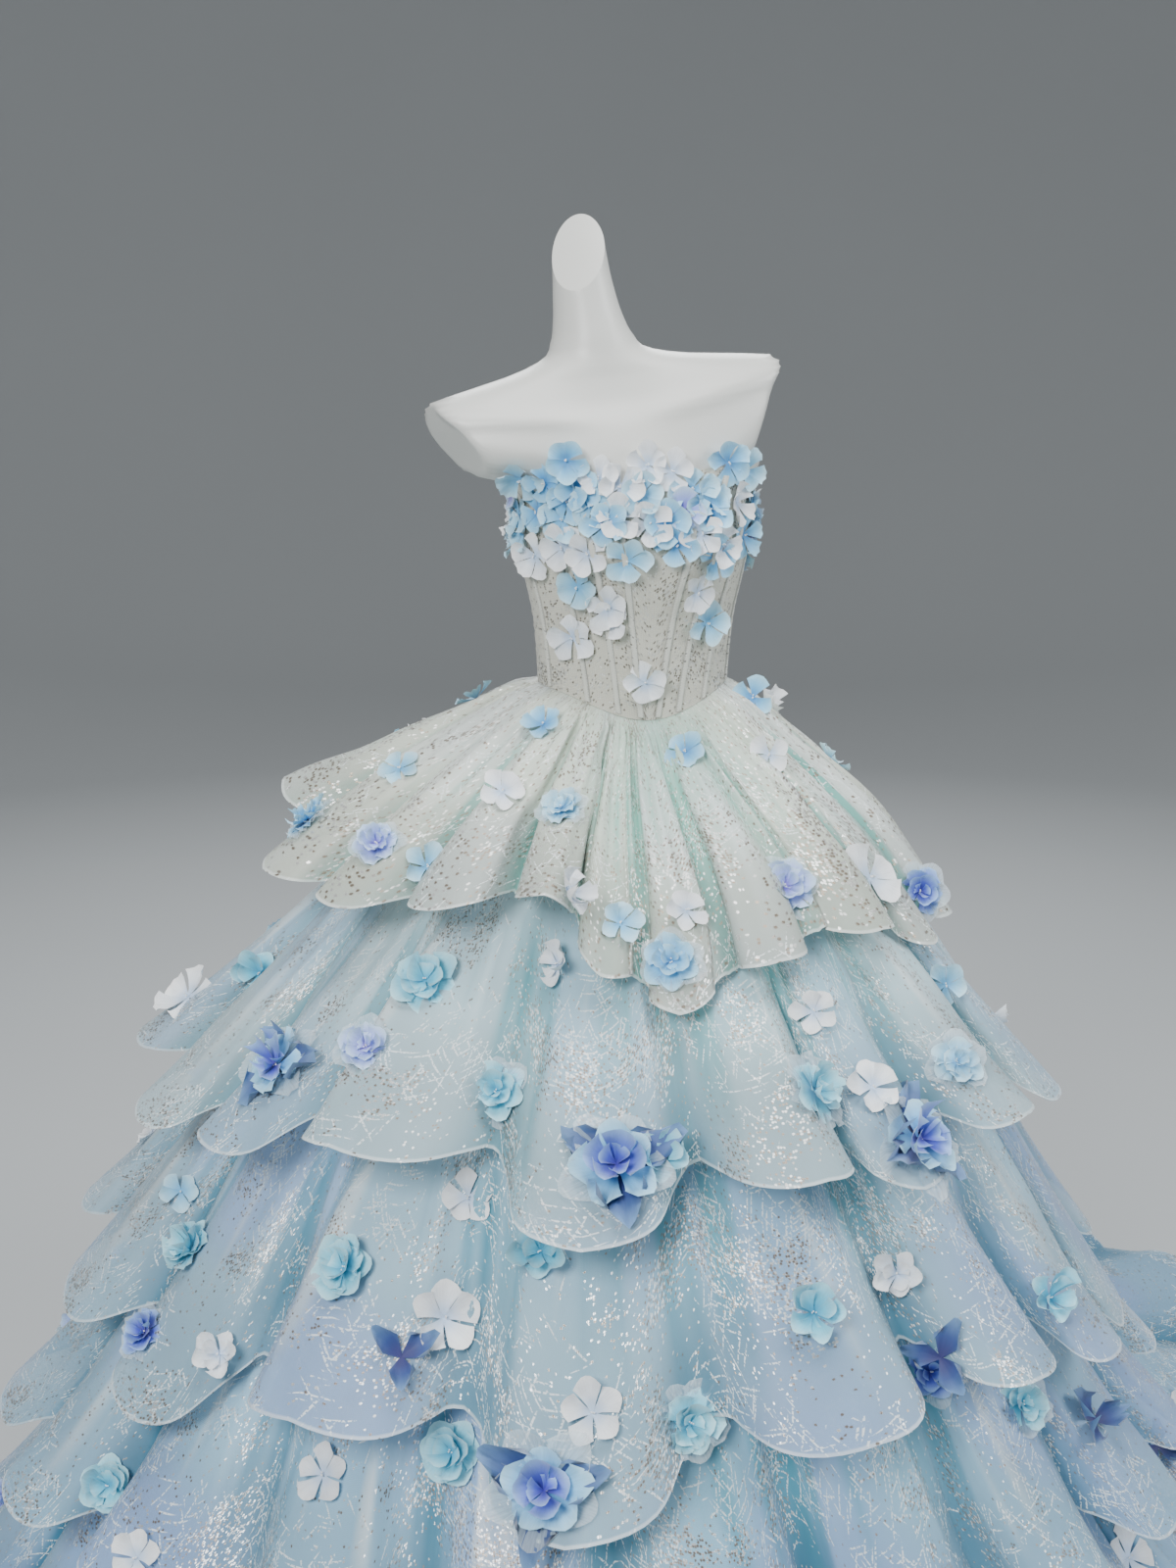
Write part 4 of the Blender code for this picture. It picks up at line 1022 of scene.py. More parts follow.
    def slider_mesh(self) -> bpy.types.Mesh:
        """The slider's waisted body with a bridge, and a flat pull that hangs from it."""
        low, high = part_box("zip_slider")
        centre = (low + high) / 2.0
        heights = np.linspace(-1.0, 1.0, 15)[:, None]
        turns = np.linspace(0.0, 2.0 * np.pi, 20, endpoint=False)[None, :]
        waist = 0.0024 * (0.78 + 0.22 * np.cos(np.pi * heights) ** 2) * (1.0 - heights**8) ** 0.5
        square = (np.abs(np.cos(turns)) ** 4 + np.abs(np.sin(turns)) ** 4) ** -0.25
        body = np.stack(np.broadcast_arrays(
            -waist * square * np.cos(turns), 0.62 * waist * square * np.sin(turns), -0.0052 * heights,
        ), axis=-1)
        pull_width = 0.0021 * (1.0 + 0.25 * heights) * (1.0 - heights**10) ** 0.5
        pull_depth = 0.0022 + 0.0005 * square * np.sin(turns) * (1.0 - heights**10) ** 0.5
        pull = np.stack(np.broadcast_arrays(
            -pull_width * square * np.cos(turns), pull_depth, -0.0105 - 0.0085 * heights,
        ), axis=-1)
        return joined_rings("zip_slider_and_pull", [body + np.array(centre), pull + np.array(centre)])

    def declare(self, blooms: dict[str, list[bpy.types.Object]]) -> None:
        """Work out each panel's cut area from its width and length."""
        for node, made in self.made.items():
            grid = self.grids[node]
            size = (float(grid.uv[..., 0].max() - grid.uv[..., 0].min()), float(grid.uv[..., 1].max()))
            cut_area(grid, size)


def cut_area(grid: Grid, size: tuple[float, float]) -> float:
    """The cut's flat area: the surface's own, within what a cut of that width and length can hold."""
    whole = size[0] * size[1]
    return float(np.clip(grid.area(), 0.31 * whole, whole))


def boxes_mesh(name: str, centres: Array, size: tuple[float, float, float]) -> bpy.types.Mesh:
    """Many small boxes of one size as one mesh, their corners being the centre plus or minus half."""
    signs = np.array([(x, y, z) for z in (-1, 1) for x, y in ((-1, -1), (1, -1), (1, 1), (-1, 1))]) / 2.0
    points = centres[:, None, :] + signs[None] * np.array(size)
    faces = np.array([(3, 2, 1, 0), (4, 5, 6, 7), (0, 1, 5, 4), (1, 2, 6, 5), (2, 3, 7, 6), (3, 0, 4, 7)])
    numbers = faces[None] + 8 * np.arange(len(centres))[:, None, None]
    made = bpy.data.meshes.new(name)
    made.from_pydata(points.reshape(-1, 3).tolist(), [], numbers.reshape(-1, 4).tolist())
    return made


def joined_rings(name: str, stacks: Sequence[Array]) -> bpy.types.Mesh:
    """Closed tubes from stacks of rings, rows from top to bottom, each end drawn to a point."""
    points, faces, start = [], [], 0
    for stack in stacks:
        grid = Grid(stack, ring=True)
        points.append(stack.reshape(-1, 3))
        faces.extend((grid.quads() + start).tolist())
        start += stack.shape[0] * stack.shape[1]
    made = bpy.data.meshes.new(name)
    made.from_pydata(np.concatenate(points).tolist(), [], faces)
    tidy = bmesh.new()
    tidy.from_mesh(made)
    bmesh.ops.remove_doubles(tidy, verts=tidy.verts[:], dist=2e-6)
    bmesh.ops.recalc_face_normals(tidy, faces=tidy.faces[:])
    tidy.to_mesh(made)
    tidy.free()
    made.shade_smooth()
    return made


@dataclass
class Underskirt:
    """The full lining skirt in two panels, which hangs in soft flutes."""

    skirt: SkirtShape
    rows: int = 46
    columns: int = 150
    wall: float = 0.0010
    flute: float = 0.0007
    grids: dict[str, Grid] = field(default_factory=dict)
    made: dict[str, bpy.types.Object] = field(default_factory=dict)

    def build(self, satin: Material) -> None:
        """Make both panels. Flutes are sines of uneven pitch that deepen towards the floor."""
        fall = np.linspace(0.0, 1.0, self.rows)[:, None]
        heights = self.skirt.top + (self.skirt.heights[0] - self.skirt.top) * fall
        for node, start in (("underskirt_front", -90.0), ("underskirt_back", 90.0)):
            half_gap = np.degrees(SEAM_GAP / self.skirt.radius(heights))
            across = np.linspace(0.0, 1.0, self.columns)[None, :]
            bearings = start + half_gap + (180.0 - 2.0 * half_gap) * across
            angle = np.radians(bearings)
            flutes = np.sin(23.0 * angle + 1.5 * np.sin(3.0 * angle)) + 0.6 * np.sin(41.0 * angle + 2.0)
            out = -self.flute * (1.0 + flutes / 1.6) * smooth_step(fall, 0.0, 0.5)
            points = self.skirt.point(bearings, heights, out)
            down = lengths(points, 0)
            along = lengths(points, 1)
            uv = np.stack([along - along[:, -1:] / 2.0, down], axis=-1)
            grid = Grid(points, uv, {"fall": fall + 0.0 * bearings})
            mesh = grid.mesh(node.replace("underskirt", "lining_skirt"))
            mesh.materials.append(satin)
            self.grids[node] = grid
            self.made[node] = piece(mesh.name, mesh, [node])
            give_wall(self.made[node], self.wall)

    def declare(self) -> None:
        """Work out each panel's cut area from its width and length."""
        for node, made in self.made.items():
            grid = self.grids[node]
            size = (float(lengths(grid.points, 1)[-1, -1]), float(lengths(grid.points, 0)[-1].mean()))
            cut_area(grid, size)


@dataclass(frozen=True)
class Lobe:
    """A scallop: bearing of its crest, height of its tip, and radius of the crest at the hem."""

    bearing: float
    tip: float
    radius: float


@dataclass(frozen=True)
class Tier:
    """One flounce's own sizes, as in the list of tiers below."""

    name: str
    seam: Optional[float]
    count: int
    depth: float
    drop: float
    broad: float
    sink: float
    leave: float
    swing: float
    back_height: float
    back_radius: float
    lobes: tuple[Lobe, ...]
    ridges: int = 3
    ridge_rise: float = 0.006


def lobe_rows(*rows: tuple[float, float, float]) -> tuple[Lobe, ...]:
    """Lobes from rows of bearing, tip height and radius."""
    return tuple(Lobe(*row) for row in rows)


TIERS = (
    Tier("flounce_1", None, 20, 0.048, 0.075, 0.85, 1.15, 0.85, 0.35, 0.860, 0.400, lobe_rows(
        (-121, 0.930, 0.400), (-102, 0.955, 0.400), (-82, 0.885, 0.422), (-61, 0.885, 0.412), (-44, 0.902, 0.395),
        (-27, 0.925, 0.375), (-18, 0.845, 0.372), (-5.5, 0.808, 0.385), (11, 0.850, 0.375), (31, 0.862, 0.370),
        (48, 0.815, 0.366), (66, 0.820, 0.362), (88, 0.850, 0.345), (106, 0.870, 0.350)), 7, 0.0078),
    Tier("flounce_2", 0.925, 18, 0.052, 0.090, 0.80, 1.00, 1.60, 0.45, 0.640, 0.540, lobe_rows(
        (-124, 0.640, 0.560), (-104, 0.640, 0.585), (-83, 0.620, 0.572), (-62, 0.655, 0.556), (-44, 0.700, 0.540),
        (-17, 0.628, 0.532), (7, 0.682, 0.520), (19, 0.650, 0.518), (39, 0.675, 0.508), (60, 0.640, 0.500),
        (84, 0.560, 0.495), (108, 0.585, 0.505)), 4, 0.0095),
    Tier("flounce_3", 0.735, 18, 0.056, 0.100, 0.80, 1.00, 1.60, 0.45, 0.420, 0.640, lobe_rows(
        (-126, 0.420, 0.660), (-106, 0.420, 0.668), (-86, 0.400, 0.664), (-65, 0.380, 0.650), (-42, 0.462, 0.630),
        (-17.5, 0.378, 0.618), (8.5, 0.453, 0.604), (28, 0.455, 0.598), (47, 0.400, 0.592), (68, 0.345, 0.584),
        (90, 0.360, 0.590), (111, 0.400, 0.612)), 4, 0.0100),
    Tier("flounce_4", 0.535, 20, 0.054, 0.085, 0.80, 1.00, 1.60, 0.40, 0.200, 0.720, lobe_rows(
        (-116, 0.200, 0.750), (-96, 0.215, 0.752), (-76, 0.230, 0.742), (-58, 0.240, 0.726), (-40, 0.215, 0.708),
        (-22, 0.200, 0.694), (-4, 0.210, 0.684), (14, 0.190, 0.676), (32, 0.215, 0.668), (50, 0.205, 0.664),
        (69, 0.185, 0.664), (88, 0.200, 0.676), (108, 0.210, 0.700)), 4, 0.0100),
    Tier("flounce_5", 0.335, 22, 0.050, 0.040, 0.80, 1.00, 1.50, 0.30, 0.003, 0.800, lobe_rows(
        (-108, 0.003, 0.836), (-90, 0.003, 0.842), (-72, 0.003, 0.828), (-55, 0.003, 0.808), (-38, 0.003, 0.788),
        (-22, 0.003, 0.772), (-6, 0.003, 0.760), (10, 0.003, 0.750), (26, 0.003, 0.744), (43, 0.003, 0.742),
        (60, 0.003, 0.750), (78, 0.003, 0.790), (96, 0.003, 0.870), (113, 0.003, 0.970)), 4, 0.0090),
)


@dataclass
class Flounce:
    """One scalloped flounce in a front and a back panel, gathered into its seam."""

    tier: Tier
    skirt: SkirtShape
    last: bool = False
    columns: int = 26
    rows: int = 40
    wall: float = 0.0006
    gather: float = 0.0016
    stand_off: float = 0.038
    train_reach: float = 0.330
    train_bearing: float = 150.0
    train_width: float = 48.0
    grids: dict[str, Grid] = field(default_factory=dict)
    made: dict[str, bpy.types.Object] = field(default_factory=dict)

    def __post_init__(self) -> None:
        """Fill in the back lobes, evenly between the front ones but uneven in length and reach."""
        tier = self.tier
        lobes = list(tier.lobes)
        first, final = lobes[0], lobes[-1]
        missing = tier.count - len(lobes)
        free = first.bearing + 360.0 - final.bearing
        for number in range(1, missing + 1):
            share = number / (missing + 1)
            middle = math.sin(math.pi * share)
            tip = final.tip + (first.tip - final.tip) * share
            radius = final.radius + (first.radius - final.radius) * share
            tip += (tier.back_height - tip) * middle
            radius += (tier.back_radius - radius) * middle
            tip += 0.0 if self.last else 0.018 * math.sin(2.4 * number + tier.count)
            radius += 0.010 * math.sin(1.7 * number + tier.count)
            lobes.append(Lobe(final.bearing + free * share + 2.5 * math.sin(2.1 * number), tip, radius))
        self.lobes = lobes
        self.steps = np.arange(-len(lobes), 2 * len(lobes))
        laps = np.repeat([-360.0, 0.0, 360.0], len(lobes))
        self.bearings = np.array([lobe.bearing for lobe in lobes] * 3) + laps
        self.start = self.skirt.top if tier.seam is None else tier.seam
        step = 0.02
        spread = float(self.skirt.radius(self.start - step) - self.skirt.radius(self.start))
        self.out = 0.0025 * math.hypot(spread, step) / step

    def seam_point(self, bearing: Array) -> Array:
        """A point of the seam. The top flounce is gathered under the bodice's edge."""
        if self.tier.seam is None:
            return self.skirt.body.bodice(bearing, 0.0, -0.001) - np.array((0.0, 0.0, 0.0003))
        return self.skirt.point(bearing, self.tier.seam, self.out)

    def point(self, turn: Array, down: Array) -> Array:
        """A point of the flounce's main form.

        Args:
            turn: Lobes counted round the gown; a whole number is a crest, a half the valley after it.
            down: 0 at the seam and 1 at the hem.

        Returns:
            Crests follow the cosine of half a turn; valleys lie square inside them; from the seam the
            wall leaves the underskirt by a power of down.
        """
        tier = self.tier
        tips = [lobe.tip for lobe in self.lobes] * 3
        radii = [lobe.radius for lobe in self.lobes] * 3
        bearing = np.interp(turn, self.steps, self.bearings)
        after, before = (np.interp(turn + half, self.steps, self.bearings) for half in (0.5, -0.5))
        pitch = after - before
        tip, radius = np.interp(turn, self.steps, tips), np.interp(turn, self.steps, radii)
        away = turn - np.round(turn)
        crest = np.abs(np.cos(np.pi * away))
        lean = tier.swing * np.sin(1.3 * np.round(turn) + tier.count)
        spread = 0.45 * np.sin(2.0 * np.pi * away) + 0.26 * np.sin(4.0 * np.pi * away)
        spread = (spread + lean * crest * crest) / (2.0 * np.pi)
        hem_bearing = bearing + pitch * spread * down**0.8

        top = self.seam_point(bearing)
        slope = np.arctan2(top[..., 2] - tip, radius - np.hypot(top[..., 0], top[..., 1]))
        inside = tier.depth * (1.0 - crest**tier.broad)
        short = tier.drop * (1.0 - crest)
        hem_radius = radius - inside * np.sin(slope) - short * np.cos(slope)
        hem_height = np.maximum(tip - inside * np.cos(slope) + short * np.sin(slope), 0.003)
        under = self.skirt.point(hem_bearing, hem_height, self.out)
        hem_radius = np.maximum(hem_radius, np.hypot(under[..., 0], under[..., 1]) + self.stand_off)
        hem = level_out(hem_bearing) * hem_radius[..., None]
        sunk = self.start + (hem_height - self.start) * down**tier.sink
        held = self.skirt.point(hem_bearing, sunk, self.out)
        held = held + (top - self.skirt.point(bearing, self.start, self.out)) * ((1.0 - down) ** 2)[..., None]
        level = held[..., :2] + (hem - under[..., :2]) * (down**tier.leave)[..., None]
        height = held[..., 2]
        if self.last:
            level, height = self.train(level, height, hem_bearing, down)
        return np.concatenate([level, height[..., None]], axis=-1)

    def train(self, level: Array, height: Array, bearing: Array, down: Array) -> tuple[Array, Array]:
        """Carry the lowest hem out over the floor: a bell of bearings round the back left."""
        pull = bell(wrap(bearing - self.train_bearing), 0.0, self.train_width)
        out = self.train_reach * pull * smooth_step(down, 0.5, 1.0)
        laid = 0.004 + (height - 0.004) * (1.0 - 0.9 * pull * smooth_step(down, 0.5, 0.85))
        return level + level_out(bearing) * out[..., None], laid

    def creases(self, turn: Array, down: Array) -> Array:
        """Height of the creases over the main form.

        Each lobe has a few sharp ridges that fan from the seam: a ridge's height is e to the minus
        distance from its line, times its rise, times a window of the way down. Soft troughs lie
        between, gathers ripple the first part below the seam, and the hem flutters.
        """
        tier = self.tier
        number = tier.count * tier.ridges
        spare = scatter(tier.count + 3.0 * tier.ridges, number * 5).reshape(5, number)
        centres = (np.arange(number) + 0.85 * (spare[0] - 0.5)) / tier.ridges
        lean = 0.30 * (spare[1] - 0.5)
        width = 0.030 + 0.045 * spare[2]
        start, end = 0.30 * spare[3] ** 2, 0.70 + 0.55 * spare[4]
        rise = tier.ridge_rise * (0.35 + 0.9 * spare[1]) * np.where(spare[2] > 0.82, -0.8, 1.0)
        line = down.reshape(-1, 1, 1)
        lap = tier.count / 2.0
        offset = (turn.reshape(1, -1, 1) - centres - lean * line + lap) % tier.count - lap
        spread = width * (0.55 + 0.75 * line)
        sharp = np.exp(-np.sqrt((offset / spread) ** 2 + 0.05))
        window = smooth_step(line, start - 0.02, start + 0.25) * (1.0 - smooth_step(line, end - 0.35, end))
        ridges = (sharp * window * rise).sum(axis=-1)
        flat = turn.reshape(1, -1)
        tight = 1.0 if tier.seam else 1.7
        fall = line[..., 0]
        gathers = tight * np.sin(2.0 * np.pi * 5.0 * flat + 1.7 * np.sin(flat * 2.3)) * bell(fall, 0.10, 0.12)
        flutter = np.sin(2.0 * np.pi * 1.5 * flat + 2.0 * np.sin(flat * 0.9)) * smooth_step(fall, 0.72, 1.0)
        return ridges + self.gather * gathers * smooth_step(fall, 0.0, 0.06) + 0.0035 * (1.0 + flutter)

    def grid(self, start: float, end: float) -> Grid:
        """The fine surface between two turns, with creases along its own outward direction."""
        count = round((end - start) * self.columns) + 1
        down = np.linspace(0.0, 1.0, self.rows + 1)[:, None] ** 0.92
        turns = np.repeat(np.linspace(start, end, count)[None, :], len(down), axis=0)
        for column, side in ((0, 1.0), (-1, -1.0)):
            edge = self.point(turns[:, column], down[:, 0])
            round_length = 2.0 * np.pi * np.hypot(edge[:, 0], edge[:, 1])
            turns[:, column] += side * 2.0 * SEAM_GAP * self.tier.count / round_length
        points = self.point(turns, down + 0.0 * turns)
        rise = self.creases(turns[0], down[:, 0]) * smooth_step(down, 0.0, 0.12)
        window = np.minimum(1.0, np.minimum(turns - start, end - turns) * 8.0)
        normal = grid_normals(points)
        if self.last:
            laid = smooth_step(points[..., 2], 0.02, 0.10)
            rise = rise * (0.25 + 0.75 * laid)
        points = points + normal * (rise * window)[..., None]
        points[..., 2] = np.maximum(points[..., 2], 0.0022)
        away = turns - np.round(turns)
        crest = np.abs(np.cos(np.pi * away))
        # Painted streaks: narrow bands of painted light and shade that run down from the seam and fade out towards
        # the hem
        painted_streaks = np.sin(2.0 * np.pi * (3.3 * turns + 0.5 * np.sin(1.9 * turns))) * np.sin(5.1 * turns + 1.0)
        painted_streaks = (0.30 * painted_streaks + 0.14 * np.sin(2.0 * np.pi * 8.3 * turns)) * smooth_step(down, 1.0, 0.35)
        # Painted light: lighter on the crests and crease ridges, painted shade in the valleys and troughs
        lit = 0.75 * crest**1.2 + 0.25 + (rise - rise.mean()) * 45.0 + painted_streaks
        along = lengths(points, 0)
        wide = lengths(points, 1)
        width = float(wide[-1, -1])
        uv = np.stack([(turns - start) / (end - start) * width, along[-1:] - along], axis=-1)
        bearing = np.degrees(np.arctan2(points[..., 0], -points[..., 1]))
        middle = bell(bearing, 4.0, 34.0) * smooth_step(down, 0.95, 0.1)
        # The painted light and shade fade out near the seam, where the value stays 1
        painted_light = np.clip(1.0 - (1.0 - lit) * smooth_step(down, 0.02, 0.5), 0.0, 1.5)
        return Grid(points, uv, {
            "fold_light": painted_light, "fall": down + 0.0 * turns, "hem": along[-1:] - along, "middle": middle,
        })

    def panel_turns(self) -> tuple[float, float]:
        """The valleys nearest to the sides, where the front and back panels are joined."""
        bearings = [lobe.bearing for lobe in self.lobes]
        left = min(range(len(bearings)), key=lambda i: abs(wrap(bearings[i] + 95.0)))
        right = min(range(len(bearings)), key=lambda i: abs(wrap(bearings[i] - 95.0)))
        return left + 0.5, right + 0.5

    def build(self, organza: Material, slot: str) -> None:
        """Make the front and back panels."""
        left, right = self.panel_turns()
        for word, start, end in (("front", left, right), ("back", right, left + self.tier.count)):
            node = f"{self.tier.name}_{word}"
            grid = self.grid(start, end)
            mesh = grid.mesh(node.replace("flounce", "scallops"))
            mesh.materials.append(organza)
            self.grids[node] = grid
            self.made[node] = piece(mesh.name, mesh, [node])
            give_wall(self.made[node], self.wall)

    def declare(self, blooms: dict[str, list[bpy.types.Object]]) -> None:
        """Work out each panel's cut area: as wide as its hem and as long as from seam to hem."""
        for node, made in self.made.items():
            grid = self.grids[node]
            size = (float(lengths(grid.points, 1)[-1, -1]), float(lengths(grid.points, 0)[-1].mean()))
            cut_area(grid, size)


def grid_normals(points: Array) -> Array:
    """Outward direction at every point: the cross product of the surface's two differences."""
    down = np.gradient(points, axis=0)
    along = np.gradient(points, axis=1)
    normal = np.cross(down, along)
    return normal / np.maximum(np.linalg.norm(normal, axis=-1, keepdims=True), 1e-12)


class Tone(Enum):
    """The dyes of the petals, as colours from foot to edge."""

    SKY = ((0.05, 0.27, 0.62), (0.17, 0.52, 0.83), (0.44, 0.76, 0.93))
    PALE = ((0.12, 0.43, 0.74), (0.30, 0.65, 0.87), (0.57, 0.82, 0.94))
    WHITE = ((0.46, 0.62, 0.84), (0.80, 0.86, 0.92), (0.92, 0.94, 0.95))
    AQUA = ((0.03, 0.36, 0.58), (0.16, 0.62, 0.80), (0.50, 0.84, 0.93))
    LILAC = ((0.20, 0.14, 0.66), (0.34, 0.44, 0.90), (0.56, 0.76, 0.95))
    VIOLET = ((0.03, 0.02, 0.34), (0.08, 0.12, 0.62), (0.34, 0.56, 0.90))
    NAVY = ((0.02, 0.02, 0.14), (0.03, 0.07, 0.26), (0.14, 0.28, 0.50))
    SHEER = ((0.26, 0.46, 0.72), (0.50, 0.72, 0.88), (0.76, 0.88, 0.95))


class Kind(Enum):
    """The makes of flower."""

    ROUND = "four or five round petals"
    DOUBLE = "two frilled rows of petals"
    ROSE = "three cupped rows of petals"
    ORCHID = "a deep flower on sheer under-petals, with dark leaves"
    SIDE = "a half-closed flower seen from its side"
    SPRIG = "dark leaves alone"


@dataclass(frozen=True)
class PetalRow:
    """One row of a flower's petals. Sizes are shares of the flower's radius.

    Attributes:
        count: Petals in the row.
        reach: Length of a petal.
        width: Half width of a petal.
        blunt: How much the tip is rounded off; 1 is a point.
        cup: Rise of the tip.
        curl: Rise of the sides.
        frill: Height of the waves along the edge.
        lift: Height of the row's foot.
        tone: Dye of the row, or the flower's own where none is given.
        sheer: Whether the petals are organza.
    """

    count: int
    reach: float
    width: float
    blunt: float = 0.42
    cup: float = 0.22
    curl: float = 0.10
    frill: float = 0.03
    lift: float = 0.02
    tone: Optional[Tone] = None
    sheer: bool = False


ROWS: dict[Kind, tuple[PetalRow, ...]] = {
    Kind.ROUND: (PetalRow(5, 1.04, 0.46, blunt=0.34, cup=0.26, curl=0.14, frill=0.05),),
    Kind.DOUBLE: (
        PetalRow(6, 1.06, 0.50, frill=0.08, cup=0.10, lift=0.0, tone=Tone.SHEER, sheer=True),
        PetalRow(6, 0.86, 0.42, frill=0.07, cup=0.18, lift=0.04),
        PetalRow(5, 0.56, 0.32, frill=0.06, cup=0.34, lift=0.08),
        PetalRow(3, 0.30, 0.19, cup=0.36, lift=0.12),
    ),
    Kind.ROSE: (
        PetalRow(6, 1.0, 0.50, frill=0.05, cup=0.24), PetalRow(5, 0.74, 0.44, cup=0.46, curl=0.2, lift=0.06),
        PetalRow(4, 0.46, 0.34, cup=0.52, curl=0.28, lift=0.10),
    ),
    Kind.ORCHID: (
        PetalRow(5, 1.25, 0.50, frill=0.06, cup=0.10, lift=0.0, tone=Tone.SHEER, sheer=True),
        PetalRow(3, 1.46, 0.56, blunt=0.70, cup=0.22, curl=0.14, frill=0.20, lift=0.03, tone=Tone.NAVY),
        PetalRow(5, 0.92, 0.40, frill=0.10, cup=0.22, lift=0.08, tone=Tone.SKY),
        PetalRow(4, 0.60, 0.34, frill=0.04, cup=0.42, curl=0.2, lift=0.14),
        PetalRow(3, 0.34, 0.22, cup=0.44, curl=0.3, lift=0.18),
    ),
    Kind.SIDE: (
        PetalRow(5, 1.0, 0.44, cup=0.62, curl=0.2), PetalRow(3, 0.62, 0.34, cup=0.62, curl=0.2, lift=0.06),
    ),
    Kind.SPRIG: (PetalRow(3, 1.0, 0.42, blunt=0.72, cup=0.3, curl=0.16, frill=0.15, tone=Tone.NAVY),),
}


@dataclass(frozen=True)
class Bloom:
    """A flower seen in the photograph's view: its place in a 1200 x 1600 frame, make, dye and width."""

    across: float
    down: float
    kind: Kind
    tone: Tone
    width: float


def blooms(kind: Kind, tone: Tone, width: float, *spots: tuple[float, float]) -> tuple[Bloom, ...]:
    """Several flowers of one make, dye and width."""
    return tuple(Bloom(across, down, kind, tone, width) for across, down in spots)


SKIRT_BLOOMS = (
    *blooms(Kind.ROUND, Tone.PALE, 0.046, (527, 682), (435, 885), (633, 943), (408, 785), (965, 1005), (185, 1215)),
    *blooms(Kind.ROUND, Tone.SKY, 0.046, (556, 740), (700, 768), (768, 712), (15, 1462), (330, 752)),
    *blooms(Kind.ROUND, Tone.WHITE, 0.046, (445, 716), (512, 808), (785, 770), (700, 930), (830, 1033)),
    *blooms(Kind.ROUND, Tone.WHITE, 0.054, (890, 1110), (478, 1222), (605, 1442), (330, 1505), (140, 1590)),
    *blooms(Kind.ROUND, Tone.WHITE, 0.070, (193, 1018), (452, 1345), (1150, 1590)),
    *blooms(Kind.SIDE, Tone.WHITE, 0.050, (580, 912), (570, 985), (915, 1300), (905, 820), (225, 1382)),
    *blooms(Kind.SIDE, Tone.AQUA, 0.056, (830, 1340), (1070, 1325), (265, 993), (552, 1278), (668, 1182)),
    *blooms(Kind.ROSE, Tone.AQUA, 0.066, (197, 1275), (462, 1482), (112, 1515), (435, 1002)),
    *blooms(Kind.DOUBLE, Tone.AQUA, 0.074, (1040, 1432)),
    *blooms(Kind.DOUBLE, Tone.PALE, 0.066, (975, 1085)),
    *blooms(Kind.DOUBLE, Tone.LILAC, 0.060, (385, 862), (373, 1070)),
    *blooms(Kind.DOUBLE, Tone.VIOLET, 0.064, (938, 910), (150, 1360), (948, 1400)),
    *blooms(Kind.SPRIG, Tone.NAVY, 0.080, (410, 1385), (205, 978), (1115, 1450), (1180, 1475), (960, 1385)),
)


def numbered(part: str, *rows: tuple[Kind, Tone, float]) -> dict[str, tuple[Kind, Tone, float]]:
    """The flowers that have solids, named by their part and number."""
    return {f"{part}_flower_{number:02d}": row for number, row in enumerate(rows, 1)}


CARRIED_BLOOMS = {
    **numbered(
        "skirt",
        (Kind.DOUBLE, Tone.SKY, 0.070), (Kind.DOUBLE, Tone.PALE, 0.060), (Kind.DOUBLE, Tone.SKY, 0.066),
        (Kind.DOUBLE, Tone.LILAC, 0.070), (Kind.ROUND, Tone.WHITE, 0.070),
        (Kind.ORCHID, Tone.VIOLET, 0.088), (Kind.DOUBLE, Tone.AQUA, 0.072),
        (Kind.ORCHID, Tone.VIOLET, 0.092), (Kind.DOUBLE, Tone.AQUA, 0.074),
        (Kind.ORCHID, Tone.VIOLET, 0.092), (Kind.ROSE, Tone.AQUA, 0.066), (Kind.ORCHID, Tone.VIOLET, 0.092),
        (Kind.DOUBLE, Tone.AQUA, 0.074), (Kind.ORCHID, Tone.LILAC, 0.080),
    ),
    **numbered(
        "bodice",
        (Kind.ROUND, Tone.SKY, 0.050), (Kind.ROUND, Tone.SKY, 0.048), (Kind.ROUND, Tone.WHITE, 0.052),
        (Kind.ROUND, Tone.SKY, 0.050), (Kind.ROUND, Tone.PALE, 0.052), (Kind.ROUND, Tone.WHITE, 0.050),
        (Kind.ROUND, Tone.SKY, 0.048), (Kind.ROUND, Tone.WHITE, 0.046), (Kind.ROUND, Tone.WHITE, 0.046),
    ),
}
BODICE_BLOOMS = (
    *blooms(Kind.ROUND, Tone.SKY, 0.050, (578, 470), (592, 500), (556, 492), (618, 536), (545, 530), (672, 492)),
    *blooms(Kind.ROUND, Tone.SKY, 0.052, (742, 472), (722, 520), (757, 545), (690, 556), (770, 500), (731, 568)),
    *blooms(Kind.ROUND, Tone.PALE, 0.052, (530, 487), (574, 530), (604, 515), (655, 505), (705, 500), (640, 572)),
    *blooms(Kind.ROUND, Tone.PALE, 0.047, (590, 598), (533, 602), (760, 480), (764, 522), (517, 520), (720, 635)),
    *blooms(Kind.ROUND, Tone.LILAC, 0.049, (607, 534), (697, 522), (576, 508), (748, 520)),
    *blooms(Kind.ROUND, Tone.WHITE, 0.051, (548, 567), (600, 565), (663, 535), (633, 497), (575, 558), (715, 545)),
    *blooms(Kind.ROUND, Tone.WHITE, 0.050, (585, 650), (658, 697), (693, 605), (620, 620), (756, 608), (735, 555)),
    *blooms(Kind.ROUND, Tone.WHITE, 0.047, (660, 475), (610, 488), (685, 482), (778, 520), (523, 555)),
    *blooms(Kind.ROUND, Tone.SKY, 0.045, (747, 660), (758, 578)),
)


